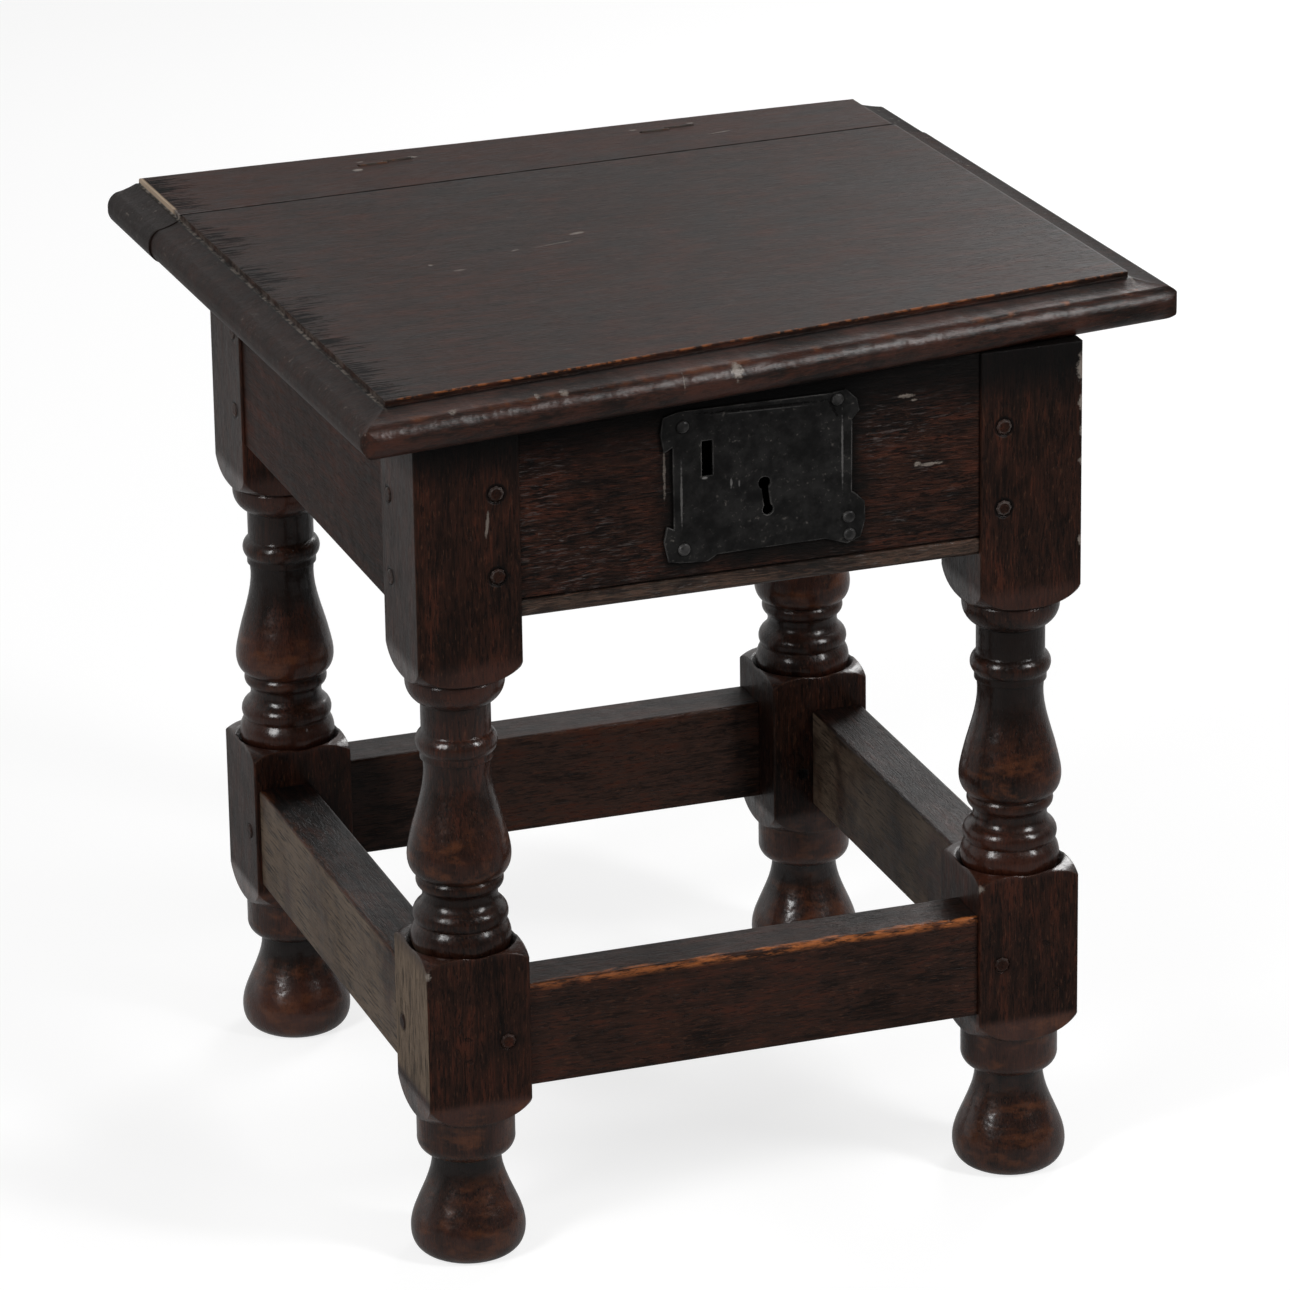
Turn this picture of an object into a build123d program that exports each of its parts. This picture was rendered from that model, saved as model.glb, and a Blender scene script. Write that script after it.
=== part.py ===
from build123d import *
import math
import os

# A joint stool with a box under its lift-up lid, in oak with iron fittings.
# Millimetres. X runs along the front, Y to the back, Z up. Each piece is drawn round the middle of the
# frame, then moved by FRAME_X and FRAME_Y, because the lid reaches further out in front: the origin is on
# the floor, under the middle of the whole stool.

os.makedirs("parts", exist_ok=True)

# Middle of the frame, from the origin
FRAME_X = -3.9
FRAME_Y = 18.7

# Frame
FRAME_WIDTH = 400.0  # over the legs, along X
FRAME_DEPTH = 406.0  # over the legs, along Y
LEG_SIDE = 62.0
LEG_HEIGHT = 517.5
ARRIS = 1.2  # wear on the corners of the blocks

# Turned leg. The turning between the two blocks is drawn at TURNED_LENGTH and fills the room there is.
UPPER_BLOCK_LENGTH = 141.5
TURNED_LENGTH = 189.0
LOWER_BLOCK_TOP = 187.0
LOWER_BLOCK_BOTTOM = 105.0
SHOULDER_DROP = 18.0  # turned shoulder under a block
CREST_RISE = 7.5  # turned shoulder over the lower block
CUP_RADIUS = 28.6
CUP_HEIGHT = 17.0
NECK_RADIUS = 20.1
NECK_LENGTH = 18.0
RING_RADIUS = 23.6
RING_HEIGHT = 12.0
VASE_RADIUS = 30.0
VASE_SWELL_RISE = 60.5  # widest part of the vase above the lower block
BEAD_RADIUS = 29.0
COLLAR_RADIUS = 28.6
COLLAR_HEIGHT = 16.0
ANKLE_RADIUS = 20.2
ANKLE_HEIGHT = 62.0
FOOT_RADIUS = 33.4
FOOT_SWELL_HEIGHT = 15.5
SOLE_RADIUS = 26.0

# Rails and stretchers
RAIL_HEIGHT = 122.5
RAIL_THICKNESS = 26.0
RAIL_SETBACK = 2.0  # behind the faces of the legs
RAIL_BEAD = 11.0  # height of the moulding along the front rail
QUIRK_DEPTH = 2.0
QUIRK_WIDTH = 1.6
STRETCHER_HEIGHT = 63.0
STRETCHER_THICKNESS = 33.0
STRETCHER_BOTTOM = 108.0
STRETCHER_SETBACK = 3.0
STRETCHER_WEAR = 2.0

# Tenons and draw pegs
TENON_THICKNESS = 10.0
TENON_INSET = 10.0  # from the outer face of the leg
TENON_LENGTH = 39.0
MORTISE_END_GAP = 0.8
RAIL_TENON_FOOT = 10.0  # shoulder under the tenon
RAIL_TENON_HEAD = 12.5  # shoulder over the tenon
STRETCHER_TENON_SHOULDER = 5.0
PEG_RADIUS = 4.7
PEG_SIDES = 8
PEG_LENGTH = 37.0
PEG_PROUD = 0.8
PEG_CLEARANCE = 0.05
PEG_SETBACK = 14.0  # from the inner edge of the leg
PEG_UPPER_DROP = 45.5  # under the top of the rail
PEG_LOWER_DROP = 94.5
SIDE_PEG_STEP = 10.0  # the side pegs sit lower, clear of the front ones
PEG_CHAMFER = 0.8

# Bottom of the box
BOTTOM_THICKNESS = 10.0
BOTTOM_RISE = 7.0  # above the bottom of the rails
BOTTOM_JOINT_Y = 8.0
GROOVE_DEPTH = 6.0
GROOVE_CLEARANCE = 0.2

# Lid
LID_GAP = 0.3
LID_THICKNESS = 27.5
LID_YAW = 1.55  # the lid sits askew on its hinges, degrees
FRONT_TAPER = 5.7  # the riven boards run out of square with the left end, degrees
BACK_TAPER = 2.6
RIGHT_FLARE = 1.6
LEFT_OVERHANG = 30.2  # from the faces of the legs to the step of the moulding, at the middle of each side
RIGHT_OVERHANG = 29.6
FRONT_OVERHANG = 0.8
BACK_OVERHANG = 9.5  # to the plain back edge
REAR_BOARD_WIDTH = 71.5
BOARD_GAP = 0.4
BACK_EDGE_WAVE = 1.0
BACK_EDGE_ROUND = 2.5
NOSE = 20.0  # reach of the moulding past its step
RIGHT_NOSE = 25.0
STEP_DEPTH = 3.5
NOSE_UNDERCUT = 6.5
NOSE_ROUND = 5.6  # from the tip of the nose in to the arris under the hollow
HOLLOW_SAG = 0.5
LID_CORNER = 8.0
REAR_BOARD_SHIFT = 1.0  # the rear board's mouldings break line with the main board's
LID_PEG_RADIUS = 4.5
LID_PEG_LENGTH = 56.0
LID_PEG_SPACING = 150.0

# Wire hinges
WIRE_RADIUS = 1.2
EYE_RADIUS = 3.3
WIRE_PAIR_HALF = 1.25  # half the distance between the two wires of a shank
HINGE_SPACING = 180.0
EYE_CLEARANCE = 0.2
HINGE_DROP = 5.0  # axis under the top of the rail
CLENCH_FORWARD = 18.0  # where the lid's wires come out, ahead of the axis
CLENCH_LENGTH = 17.0
CLENCH_SINK = 0.4
RAIL_CLENCH_LENGTH = 12.0
WIRE_CLEARANCE = 0.1

# Lock
PLATE_WIDTH = 107.0
PLATE_HEIGHT = 87.0
PLATE_THICKNESS = 1.6
PLATE_X = 6.0
PLATE_DROP = 55.5  # centre under the top of the rail
EAR = 6.5  # reach of the ragged corners
SLOT_OFFSET = -33.0  # from the centre of the plate
SLOT_RISE = 14.5
SLOT_WIDTH = 6.6
SLOT_HEIGHT = 21.0
KEYHOLE_OFFSET = 1.0
KEYHOLE_DROP = 4.7
KEYHOLE_LENGTH = 16.0  # between the centres of its two round ends
KEYHOLE_LEAN = 2.0
KEYHOLE_TOP_RADIUS = 3.7
KEYHOLE_FOOT_RADIUS = 3.2
KEYHOLE_WAIST = 4.2
NAIL_HEAD_RADIUS = 3.6
NAIL_HEAD_HEIGHT = 1.5
NAIL_RADIUS = 1.3
NAIL_LENGTH = 14.0
NAIL_CLEARANCE = 0.05
POCKET_MARGIN = 12.0  # wood left inside the edge of the plate
POCKET_DEPTH = 15.0
BOLT_HEIGHT = 10.0
BOLT_THICKNESS = 4.0
BOLT_TRAVEL = 14.0
BOLT_CLEARANCE = 0.3
BOLT_SLOT_GAP = 3.0  # between the drawn bolt and the slot
GUIDE_WIDTH = 6.0
GUIDE_BAR = 3.0
FIRST_GUIDE_OFFSET = 15.0  # from the slot
GUIDE_SPACING = 42.0
TALON_RADIUS = 4.5
TALON_OFFSET = 13.0  # ahead of the stop lug
LUG_WIDTH = 3.0
LUG_HEIGHT = 5.0
SPRING_THICKNESS = 0.8
SPRING_WIDTH = 3.5

# Worked out from the sizes above
HALF_WIDTH = FRAME_WIDTH / 2
HALF_DEPTH = FRAME_DEPTH / 2
LEG_X = HALF_WIDTH - LEG_SIDE / 2
LEG_Y = HALF_DEPTH - LEG_SIDE / 2
INNER_X = HALF_WIDTH - LEG_SIDE
INNER_Y = HALF_DEPTH - LEG_SIDE
RAIL_BOTTOM = LEG_HEIGHT - RAIL_HEIGHT
STRETCHER_TOP = STRETCHER_BOTTOM + STRETCHER_HEIGHT
RAIL_TENON = (RAIL_BOTTOM + RAIL_TENON_FOOT, LEG_HEIGHT - RAIL_TENON_HEAD)
STRETCHER_TENON = (STRETCHER_BOTTOM + STRETCHER_TENON_SHOULDER, STRETCHER_TOP - STRETCHER_TENON_SHOULDER)
RAIL_FACE_Y = HALF_DEPTH - RAIL_SETBACK
LID_BOTTOM = LEG_HEIGHT + LID_GAP
LID_TOP = LID_BOTTOM + LID_THICKNESS
LID_LEFT_REACH = HALF_WIDTH + LEFT_OVERHANG
LID_RIGHT_REACH = HALF_WIDTH + RIGHT_OVERHANG
LID_FRONT_REACH = HALF_DEPTH + FRONT_OVERHANG
LID_BACK_REACH = HALF_DEPTH + BACK_OVERHANG
BOARD_JOINT_Y = LID_BACK_REACH - REAR_BOARD_WIDTH
BOTTOM_FLOOR = RAIL_BOTTOM + BOTTOM_RISE
HINGE_Z = LEG_HEIGHT - HINGE_DROP
RAIL_EYE_Y = RAIL_FACE_Y + EYE_CLEARANCE + EYE_RADIUS + WIRE_RADIUS
HINGE_Y = RAIL_EYE_Y + EYE_RADIUS
PLATE_Z = LEG_HEIGHT - PLATE_DROP
BACK_OF_PLATE = -RAIL_FACE_Y
SLOT_X = PLATE_X + SLOT_OFFSET
SLOT_Z = PLATE_Z + SLOT_RISE


def save(part, name):
    """Move a finished piece to its place, name it and write it."""
    placed = part.moved(Location((FRAME_X, FRAME_Y, 0)))
    placed.label = name
    export_step(placed, f"parts/{name}.step")


def outer_face(along, sign):
    """Plane of the legs' outer faces beside a rail along "x" or "y", facing out."""
    if along == "x":
        return Plane((0, sign * HALF_DEPTH, 0), x_dir=(-sign, 0, 0), z_dir=(0, sign, 0))
    return Plane((sign * HALF_WIDTH, 0, 0), x_dir=(0, sign, 0), z_dir=(sign, 0, 0))


def rail_peg_sites(along):
    """Peg centres for the rails, as points on an outer face."""
    reach = (INNER_X if along == "x" else INNER_Y) + PEG_SETBACK
    step = 0 if along == "x" else SIDE_PEG_STEP
    heights = (LEG_HEIGHT - PEG_UPPER_DROP - step, LEG_HEIGHT - PEG_LOWER_DROP - step)
    return [(side * reach, height) for side in (-1, 1) for height in heights]


def stretcher_peg_sites(along):
    """Peg centres for the stretchers, as points on an outer face."""
    reach = (INNER_X if along == "x" else INNER_Y) + PEG_SETBACK
    return [(side * reach, STRETCHER_BOTTOM + STRETCHER_HEIGHT / 2) for side in (-1, 1)]


def bore_pegs(along, sign):
    """Cut the holes for all pegs on one outer face out of the piece being built."""
    with BuildSketch(outer_face(along, sign)) as holes:
        with Locations(*rail_peg_sites(along), *stretcher_peg_sites(along)):
            Circle(PEG_RADIUS + PEG_CLEARANCE)
    extrude(holes.sketch, amount=-(PEG_LENGTH - PEG_PROUD + PEG_CLEARANCE), mode=Mode.SUBTRACT)


def corner_tenon(side, end, along, span, length, mode):
    """A tenon, or the room for one, in the leg at a corner. span is its lowest and highest point."""
    low, high = span
    inset = TENON_INSET + TENON_THICKNESS / 2
    if along == "x":
        centre = (side * (INNER_X + length / 2), end * (HALF_DEPTH - inset), (low + high) / 2)
        size = (length, TENON_THICKNESS, high - low)
    else:
        centre = (side * (HALF_WIDTH - inset), end * (INNER_Y + length / 2), (low + high) / 2)
        size = (TENON_THICKNESS, length, high - low)
    with Locations(centre):
        Box(*size, mode=mode)


def member_section(along, sign, setback, thickness):
    """Inner and outer coordinate of a rail or stretcher, across its run."""
    face = (HALF_DEPTH if along == "x" else HALF_WIDTH) - setback
    return sorted((sign * face, sign * (face - thickness)))


# Legs
block_corner = LEG_SIDE / math.sqrt(2) + 0.7
upper_block = LEG_HEIGHT - UPPER_BLOCK_LENGTH
turn = (upper_block - LOWER_BLOCK_TOP) / TURNED_LENGTH
cup_top = upper_block - SHOULDER_DROP * turn
neck_top = cup_top - CUP_HEIGHT * turn
ring_top = neck_top - NECK_LENGTH * turn
ring_bottom = ring_top - RING_HEIGHT * turn
fillet_bottom = ring_bottom - 4 * turn
swell = LOWER_BLOCK_TOP + VASE_SWELL_RISE * turn
vase_bottom = swell - 12 * turn
bead_top = vase_bottom - 17 * turn
bead_split = bead_top - 12 * turn
bead_bottom = bead_split - 18 * turn
crest_top = LOWER_BLOCK_TOP + CREST_RISE * turn
collar_bottom = ANKLE_HEIGHT + 10
collar_top = collar_bottom + COLLAR_HEIGHT

with BuildPart() as turned_leg:
    with BuildSketch(Plane.XY.offset(ANKLE_HEIGHT)):
        Rectangle(LEG_SIDE, LEG_SIDE)
    extrude(amount=LEG_HEIGHT - ANKLE_HEIGHT)
    fillet(turned_leg.edges().filter_by(Axis.Z), ARRIS)
    with BuildSketch():
        Circle(FOOT_RADIUS + 1)
    extrude(amount=ANKLE_HEIGHT)
    with BuildSketch(Plane.XZ):
        with BuildLine():
            # Foot and ankle
            Line((0, 0), (SOLE_RADIUS, 0))
            foot = Spline(
                (SOLE_RADIUS, 0),
                (FOOT_RADIUS - 1.9, 5),
                (FOOT_RADIUS, FOOT_SWELL_HEIGHT),
                (FOOT_RADIUS - 4, FOOT_SWELL_HEIGHT + 14),
                (ANKLE_RADIUS + 2.8, ANKLE_HEIGHT - 17),
                (ANKLE_RADIUS, ANKLE_HEIGHT),
            )
            # Collar and the shoulder under the lower block
            collar = ThreePointArc(
                foot @ 1, (COLLAR_RADIUS - 2.3, ANKLE_HEIGHT + 3), (COLLAR_RADIUS, collar_bottom)
            )
            Line(collar @ 1, (COLLAR_RADIUS, collar_top))
            ThreePointArc(
                (COLLAR_RADIUS, collar_top),
                ((COLLAR_RADIUS + block_corner) / 2 + 1.5, (collar_top + LOWER_BLOCK_BOTTOM) / 2 - 2.5),
                (block_corner, LOWER_BLOCK_BOTTOM),
            )
            Line((block_corner, LOWER_BLOCK_BOTTOM), (block_corner, LOWER_BLOCK_TOP))
            # Shoulder over the lower block, with a hollow behind its crest
            crest = ThreePointArc(
                (block_corner, LOWER_BLOCK_TOP),
                (block_corner - 5, crest_top - 2),
                (BEAD_RADIUS + 3, crest_top),
            )
            hollow = Line(crest @ 1, (BEAD_RADIUS - 2.8, bead_bottom))
            # Two stacked beads and the groove over them
            lower_bead = ThreePointArc(
                hollow @ 1, (BEAD_RADIUS, (bead_bottom + bead_split) / 2 + 1), (BEAD_RADIUS - 3, bead_split)
            )
            upper_bead = ThreePointArc(
                lower_bead @ 1, (BEAD_RADIUS - 1.4, bead_split + 5 * turn), (BEAD_RADIUS - 4.6, bead_top - turn)
            )
            groove = ThreePointArc(
                upper_bead @ 1, (NECK_RADIUS + 1.6, bead_top + 4.5 * turn), (NECK_RADIUS + 2.9, vase_bottom - 8 * turn)
            )
            small_bead = ThreePointArc(
                groove @ 1, (NECK_RADIUS + 5.2, vase_bottom - 4 * turn), (NECK_RADIUS + 4, vase_bottom)
            )
            # Vase
            vase = Spline(
                small_bead @ 1,
                (VASE_RADIUS - 1.3, swell - 7 * turn),
                (VASE_RADIUS, swell),
                (VASE_RADIUS - 1.1, swell + 8 * turn),
                (VASE_RADIUS - 4, swell + 20 * turn),
                (NECK_RADIUS + 2.2, swell + 33 * turn),
                (NECK_RADIUS - 0.4, fillet_bottom),
            )
            # Ring with the fillet under it, neck and cup
            Polyline(vase @ 1, (NECK_RADIUS + 1, fillet_bottom), (NECK_RADIUS + 1, ring_bottom))
            ring = ThreePointArc(
                (NECK_RADIUS + 1, ring_bottom),
                (RING_RADIUS, (ring_bottom + ring_top) / 2),
                (NECK_RADIUS, ring_top),
            )
            neck = Line(ring @ 1, (NECK_RADIUS, neck_top))
            cup = ThreePointArc(
                neck @ 1, (CUP_RADIUS - 2.2, neck_top + 5.5 * turn), (CUP_RADIUS, cup_top - 4 * turn)
            )
            Polyline(cup @ 1, (CUP_RADIUS, cup_top - 0.8), (CUP_RADIUS - 0.8, cup_top))
            # Shoulder under the upper block
            Line((CUP_RADIUS - 0.8, cup_top), (CUP_RADIUS + 0.6, cup_top + 0.8))
            ThreePointArc(
                (CUP_RADIUS + 0.6, cup_top + 0.8),
                ((CUP_RADIUS + block_corner) / 2 + 2.5, (cup_top + upper_block) / 2 - 3),
                (block_corner, upper_block),
            )
            Polyline((block_corner, upper_block), (block_corner, LEG_HEIGHT), (0, LEG_HEIGHT), (0, 0))
        make_face()
    revolve(axis=Axis.Z, mode=Mode.INTERSECT)

for leg_name, side, end in (
    ("front_left", -1, -1),
    ("front_right", 1, -1),
    ("back_left", -1, 1),
    ("back_right", 1, 1),
):
    with BuildPart() as leg:
        with Locations((side * LEG_X, end * LEG_Y, 0)):
            add(turned_leg.part)
        for along in ("x", "y"):
            corner_tenon(side, end, along, RAIL_TENON, TENON_LENGTH + MORTISE_END_GAP, Mode.SUBTRACT)
            corner_tenon(side, end, along, STRETCHER_TENON, TENON_LENGTH + MORTISE_END_GAP, Mode.SUBTRACT)
        bore_pegs("x", end)
        bore_pegs("y", side)
    save(leg.part, f"leg_{leg_name}")


# Rails, stretchers and their pegs
def add_end_tenons(along, sign, span):
    """Tenons on both ends of a rail or stretcher."""
    for other in (-1, 1):
        side, end = (other, sign) if along == "x" else (sign, other)
        corner_tenon(side, end, along, span, TENON_LENGTH, Mode.ADD)


def run_sketch_plane(along):
    """Plane across a member, at the middle of its run. Its axes are the world's Y or X, and Z."""
    return Plane.YZ if along == "x" else Plane((0, 0, 0), x_dir=(1, 0, 0), z_dir=(0, -1, 0))


for member_name, along, sign in (("front", "x", -1), ("back", "x", 1), ("left", "y", -1), ("right", "y", 1)):
    half_run = INNER_X if along == "x" else INNER_Y
    low, high = member_section(along, sign, RAIL_SETBACK, RAIL_THICKNESS)
    inner_face = high if sign < 0 else low
    groove_centre = inner_face + sign * GROOVE_DEPTH / 2

    with BuildPart() as rail:
        with BuildSketch(run_sketch_plane(along)):
            with Locations(((low + high) / 2, RAIL_BOTTOM + RAIL_HEIGHT / 2)):
                Rectangle(RAIL_THICKNESS, RAIL_HEIGHT)
            with Locations((groove_centre, BOTTOM_FLOOR + BOTTOM_THICKNESS / 2)):
                Rectangle(GROOVE_DEPTH, BOTTOM_THICKNESS + 2 * GROOVE_CLEARANCE, mode=Mode.SUBTRACT)
            if member_name == "front":
                with Locations((low, RAIL_BOTTOM + RAIL_BEAD + QUIRK_WIDTH / 2)):
                    Rectangle(2 * QUIRK_DEPTH, QUIRK_WIDTH, mode=Mode.SUBTRACT)
                fillet(vertices().sort_by_distance((low, RAIL_BOTTOM))[0], RAIL_BEAD * 0.45)
                fillet(vertices().sort_by_distance((low, RAIL_BOTTOM + RAIL_BEAD))[0], QUIRK_DEPTH * 0.8)
        extrude(amount=half_run, both=True)
        add_end_tenons(along, sign, RAIL_TENON)
        bore_pegs(along, sign)
        if member_name == "front":
            with Locations((PLATE_X, BACK_OF_PLATE + POCKET_DEPTH / 2, PLATE_Z)):
                Box(
                    PLATE_WIDTH - 2 * POCKET_MARGIN,
                    POCKET_DEPTH,
                    PLATE_HEIGHT - 2 * POCKET_MARGIN,
                    mode=Mode.SUBTRACT,
                )
    if member_name == "front":
        front_rail = rail
    elif member_name == "back":
        back_rail = rail
    else:
        save(rail.part, f"rail_{member_name}")

    low, high = member_section(along, sign, STRETCHER_SETBACK, STRETCHER_THICKNESS)
    with BuildPart() as stretcher:
        with BuildSketch(run_sketch_plane(along)):
            with Locations(((low + high) / 2, STRETCHER_BOTTOM + STRETCHER_HEIGHT / 2)):
                RectangleRounded(STRETCHER_THICKNESS, STRETCHER_HEIGHT, STRETCHER_WEAR)
        extrude(amount=half_run, both=True)
        add_end_tenons(along, sign, STRETCHER_TENON)
        bore_pegs(along, sign)
    save(stretcher.part, f"stretcher_{member_name}")

    for group_name, sites in (
        ("rail", rail_peg_sites(along)),
        ("stretcher", stretcher_peg_sites(along)),
    ):
        with BuildPart() as pegs:
            with BuildSketch(outer_face(along, sign).offset(PEG_PROUD)):
                with Locations(*sites):
                    RegularPolygon(PEG_RADIUS, PEG_SIDES)
            extrude(amount=-PEG_LENGTH)
            heads = pegs.faces().group_by(Axis.Y if along == "x" else Axis.X)[0 if sign < 0 else -1]
            chamfer(heads.edges(), PEG_CHAMFER)
        save(pegs.part, f"{group_name}_pegs_{member_name}")

# Bottom of the box: two boards, housed in the rails and notched round the legs
floor_half_x = HALF_WIDTH - RAIL_SETBACK - RAIL_THICKNESS + GROOVE_DEPTH - GROOVE_CLEARANCE
floor_half_y = RAIL_FACE_Y - RAIL_THICKNESS + GROOVE_DEPTH - GROOVE_CLEARANCE
notch_x = INNER_X - GROOVE_CLEARANCE
notch_y = INNER_Y - GROOVE_CLEARANCE
for board_name, near, far in (
    ("front", -floor_half_y, BOTTOM_JOINT_Y),
    ("back", BOTTOM_JOINT_Y + GROOVE_CLEARANCE, floor_half_y),
):
    with BuildPart() as bottom_board:
        with BuildSketch(Plane.XY.offset(BOTTOM_FLOOR)):
            with Locations((0, (near + far) / 2)):
                Rectangle(2 * floor_half_x, far - near)
            for corner_x in (-1, 1):
                for corner_y in (-1, 1):
                    with Locations((corner_x * (notch_x + LEG_SIDE / 2), corner_y * (notch_y + LEG_SIDE / 2))):
                        Rectangle(LEG_SIDE, LEG_SIDE, mode=Mode.SUBTRACT)
        extrude(amount=BOTTOM_THICKNESS)
    save(bottom_board.part, f"bottom_board_{board_name}")

# Lid
lid_plane = Plane.XY.rotated((0, 0, LID_YAW))
lid_x = lid_plane.x_dir
lid_y = lid_plane.y_dir
front_slope = math.tan(math.radians(FRONT_TAPER))
back_slope = math.tan(math.radians(BACK_TAPER))
right_slope = math.tan(math.radians(RIGHT_FLARE))


def lid_point(x, y, z=0.0):
    """A point of the lid's own square, in the frame's axes."""
    return lid_x * x + lid_y * y + Vector(0, 0, z)


def trim_to_moulding(origin, outward, nose):
    """Trim the board being built to the moulded edge whose step runs through origin."""
    shoulder = LID_TOP - STEP_DEPTH
    arris = Vector(nose - NOSE_ROUND, shoulder - 4)
    widest = Vector(nose, (LID_BOTTOM + arris.Y) / 2 + 0.8)
    hollow_start = Vector(2, shoulder)
    with BuildSketch(Plane(origin, x_dir=outward, z_dir=outward.cross(Vector(0, 0, 1)))) as section:
        with BuildLine():
            lower = ThreePointArc(
                (nose - NOSE_UNDERCUT, LID_BOTTOM), (nose - 1.6, LID_BOTTOM + 4), widest
            )
            upper = ThreePointArc(widest, (nose - 1.5, (widest.Y + arris.Y) / 2 + 1.2), arris)
            hollow = ThreePointArc(arris, (arris + hollow_start) / 2 - Vector(0, HOLLOW_SAG), hollow_start)
            Polyline(
                hollow @ 1,
                (0, shoulder),
                (0, LID_TOP),
                (-FRAME_WIDTH * 2, LID_TOP),
                (-FRAME_WIDTH * 2, LID_BOTTOM),
                lower @ 0,
            )
        make_face()
    extrude(section.sketch, amount=FRAME_WIDTH * 2, both=True, mode=Mode.INTERSECT)


def trim_ends(shift):
    """Mould both ends of the lid board being built."""
    trim_to_moulding(lid_point(-LID_LEFT_REACH + shift, 0), -lid_x, NOSE)
    right_outward = (lid_x + lid_y * right_slope).normalized()
    trim_to_moulding(lid_point(LID_RIGHT_REACH + shift, 0), right_outward, RIGHT_NOSE)


def bore_lid_pegs():
    """Cut the holes for the loose pegs between the two boards."""
    with BuildSketch(Plane(lid_point(0, BOARD_JOINT_Y, lid_middle), x_dir=lid_x, z_dir=lid_y)) as holes:
        with Locations(*lid_peg_sites):
            Circle(LID_PEG_RADIUS + PEG_CLEARANCE)
    extrude(holes.sketch, amount=LID_PEG_LENGTH / 2 + 1, both=True, mode=Mode.SUBTRACT)


lid_middle = LID_BOTTOM + LID_THICKNESS / 2
lid_peg_sites = [(-LID_PEG_SPACING, 0), (0, 0), (LID_PEG_SPACING, 0)]
left_end = -(LID_LEFT_REACH + NOSE)
right_middle = LID_RIGHT_REACH + RIGHT_NOSE / math.cos(math.radians(RIGHT_FLARE))
front_middle = -(LID_FRONT_REACH + NOSE / math.cos(math.radians(FRONT_TAPER)))
front_joint = BOARD_JOINT_Y - BOARD_GAP / 2
rear_joint = BOARD_JOINT_Y + BOARD_GAP / 2
# Where the nose of the right end meets the front nose and the back edge
front_right_x = (right_middle - right_slope * front_middle) / (1 + right_slope * front_slope)
back_right_x = (right_middle - right_slope * LID_BACK_REACH) / (1 - right_slope * back_slope)

with BuildPart() as lid_main_board:
    with BuildSketch(lid_plane.offset(LID_BOTTOM)):
        with BuildLine():
            Polyline(
                (left_end, front_joint),
                (left_end, front_middle + front_slope * left_end),
                (front_right_x, front_middle + front_slope * front_right_x),
                (right_middle - right_slope * front_joint, front_joint),
                close=True,
            )
        make_face()
        fillet(vertices().group_by(Axis.Y)[0] + vertices().group_by(Axis.Y)[1], LID_CORNER)
    extrude(amount=LID_THICKNESS)
    trim_ends(0)
    front_outward = (lid_x * front_slope - lid_y).normalized()
    trim_to_moulding(lid_point(0, -LID_FRONT_REACH), front_outward, NOSE)
    bore_lid_pegs()
save(lid_main_board.part, "lid_main_board")

# Wire hinge: an eye and a doubled shank through the rail, linked to the same through the lid
shank_start = math.sqrt(EYE_RADIUS**2 - WIRE_PAIR_HALF**2)
shank_end = Vector(0, -CLENCH_FORWARD, LID_TOP - CLENCH_SINK - HINGE_Z)
shank_way = shank_end.normalized()
shank_across = Vector(0, shank_way.Z, -shank_way.Y)


def wire(start, finish, radius=WIRE_RADIUS, mode=Mode.ADD):
    """A straight round wire between two points."""
    run = finish - start
    with BuildSketch(Plane(start, z_dir=run.normalized())) as section:
        Circle(radius)
    extrude(section.sketch, amount=run.length, mode=mode)


def lid_wire_ends(hinge_x):
    """For the lid staple's two wires: where each starts, where it comes out and where it is clenched to."""
    axis = Vector(hinge_x, HINGE_Y, HINGE_Z)
    for side in (-1, 1):
        offset = shank_across * (side * WIRE_PAIR_HALF)
        start = axis + shank_way * shank_start + offset
        rise = (LID_TOP - CLENCH_SINK - start.Z) / shank_way.Z
        top = start + shank_way * rise
        yield start, top, top + Vector(side * CLENCH_LENGTH, 0, 0)


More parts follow.
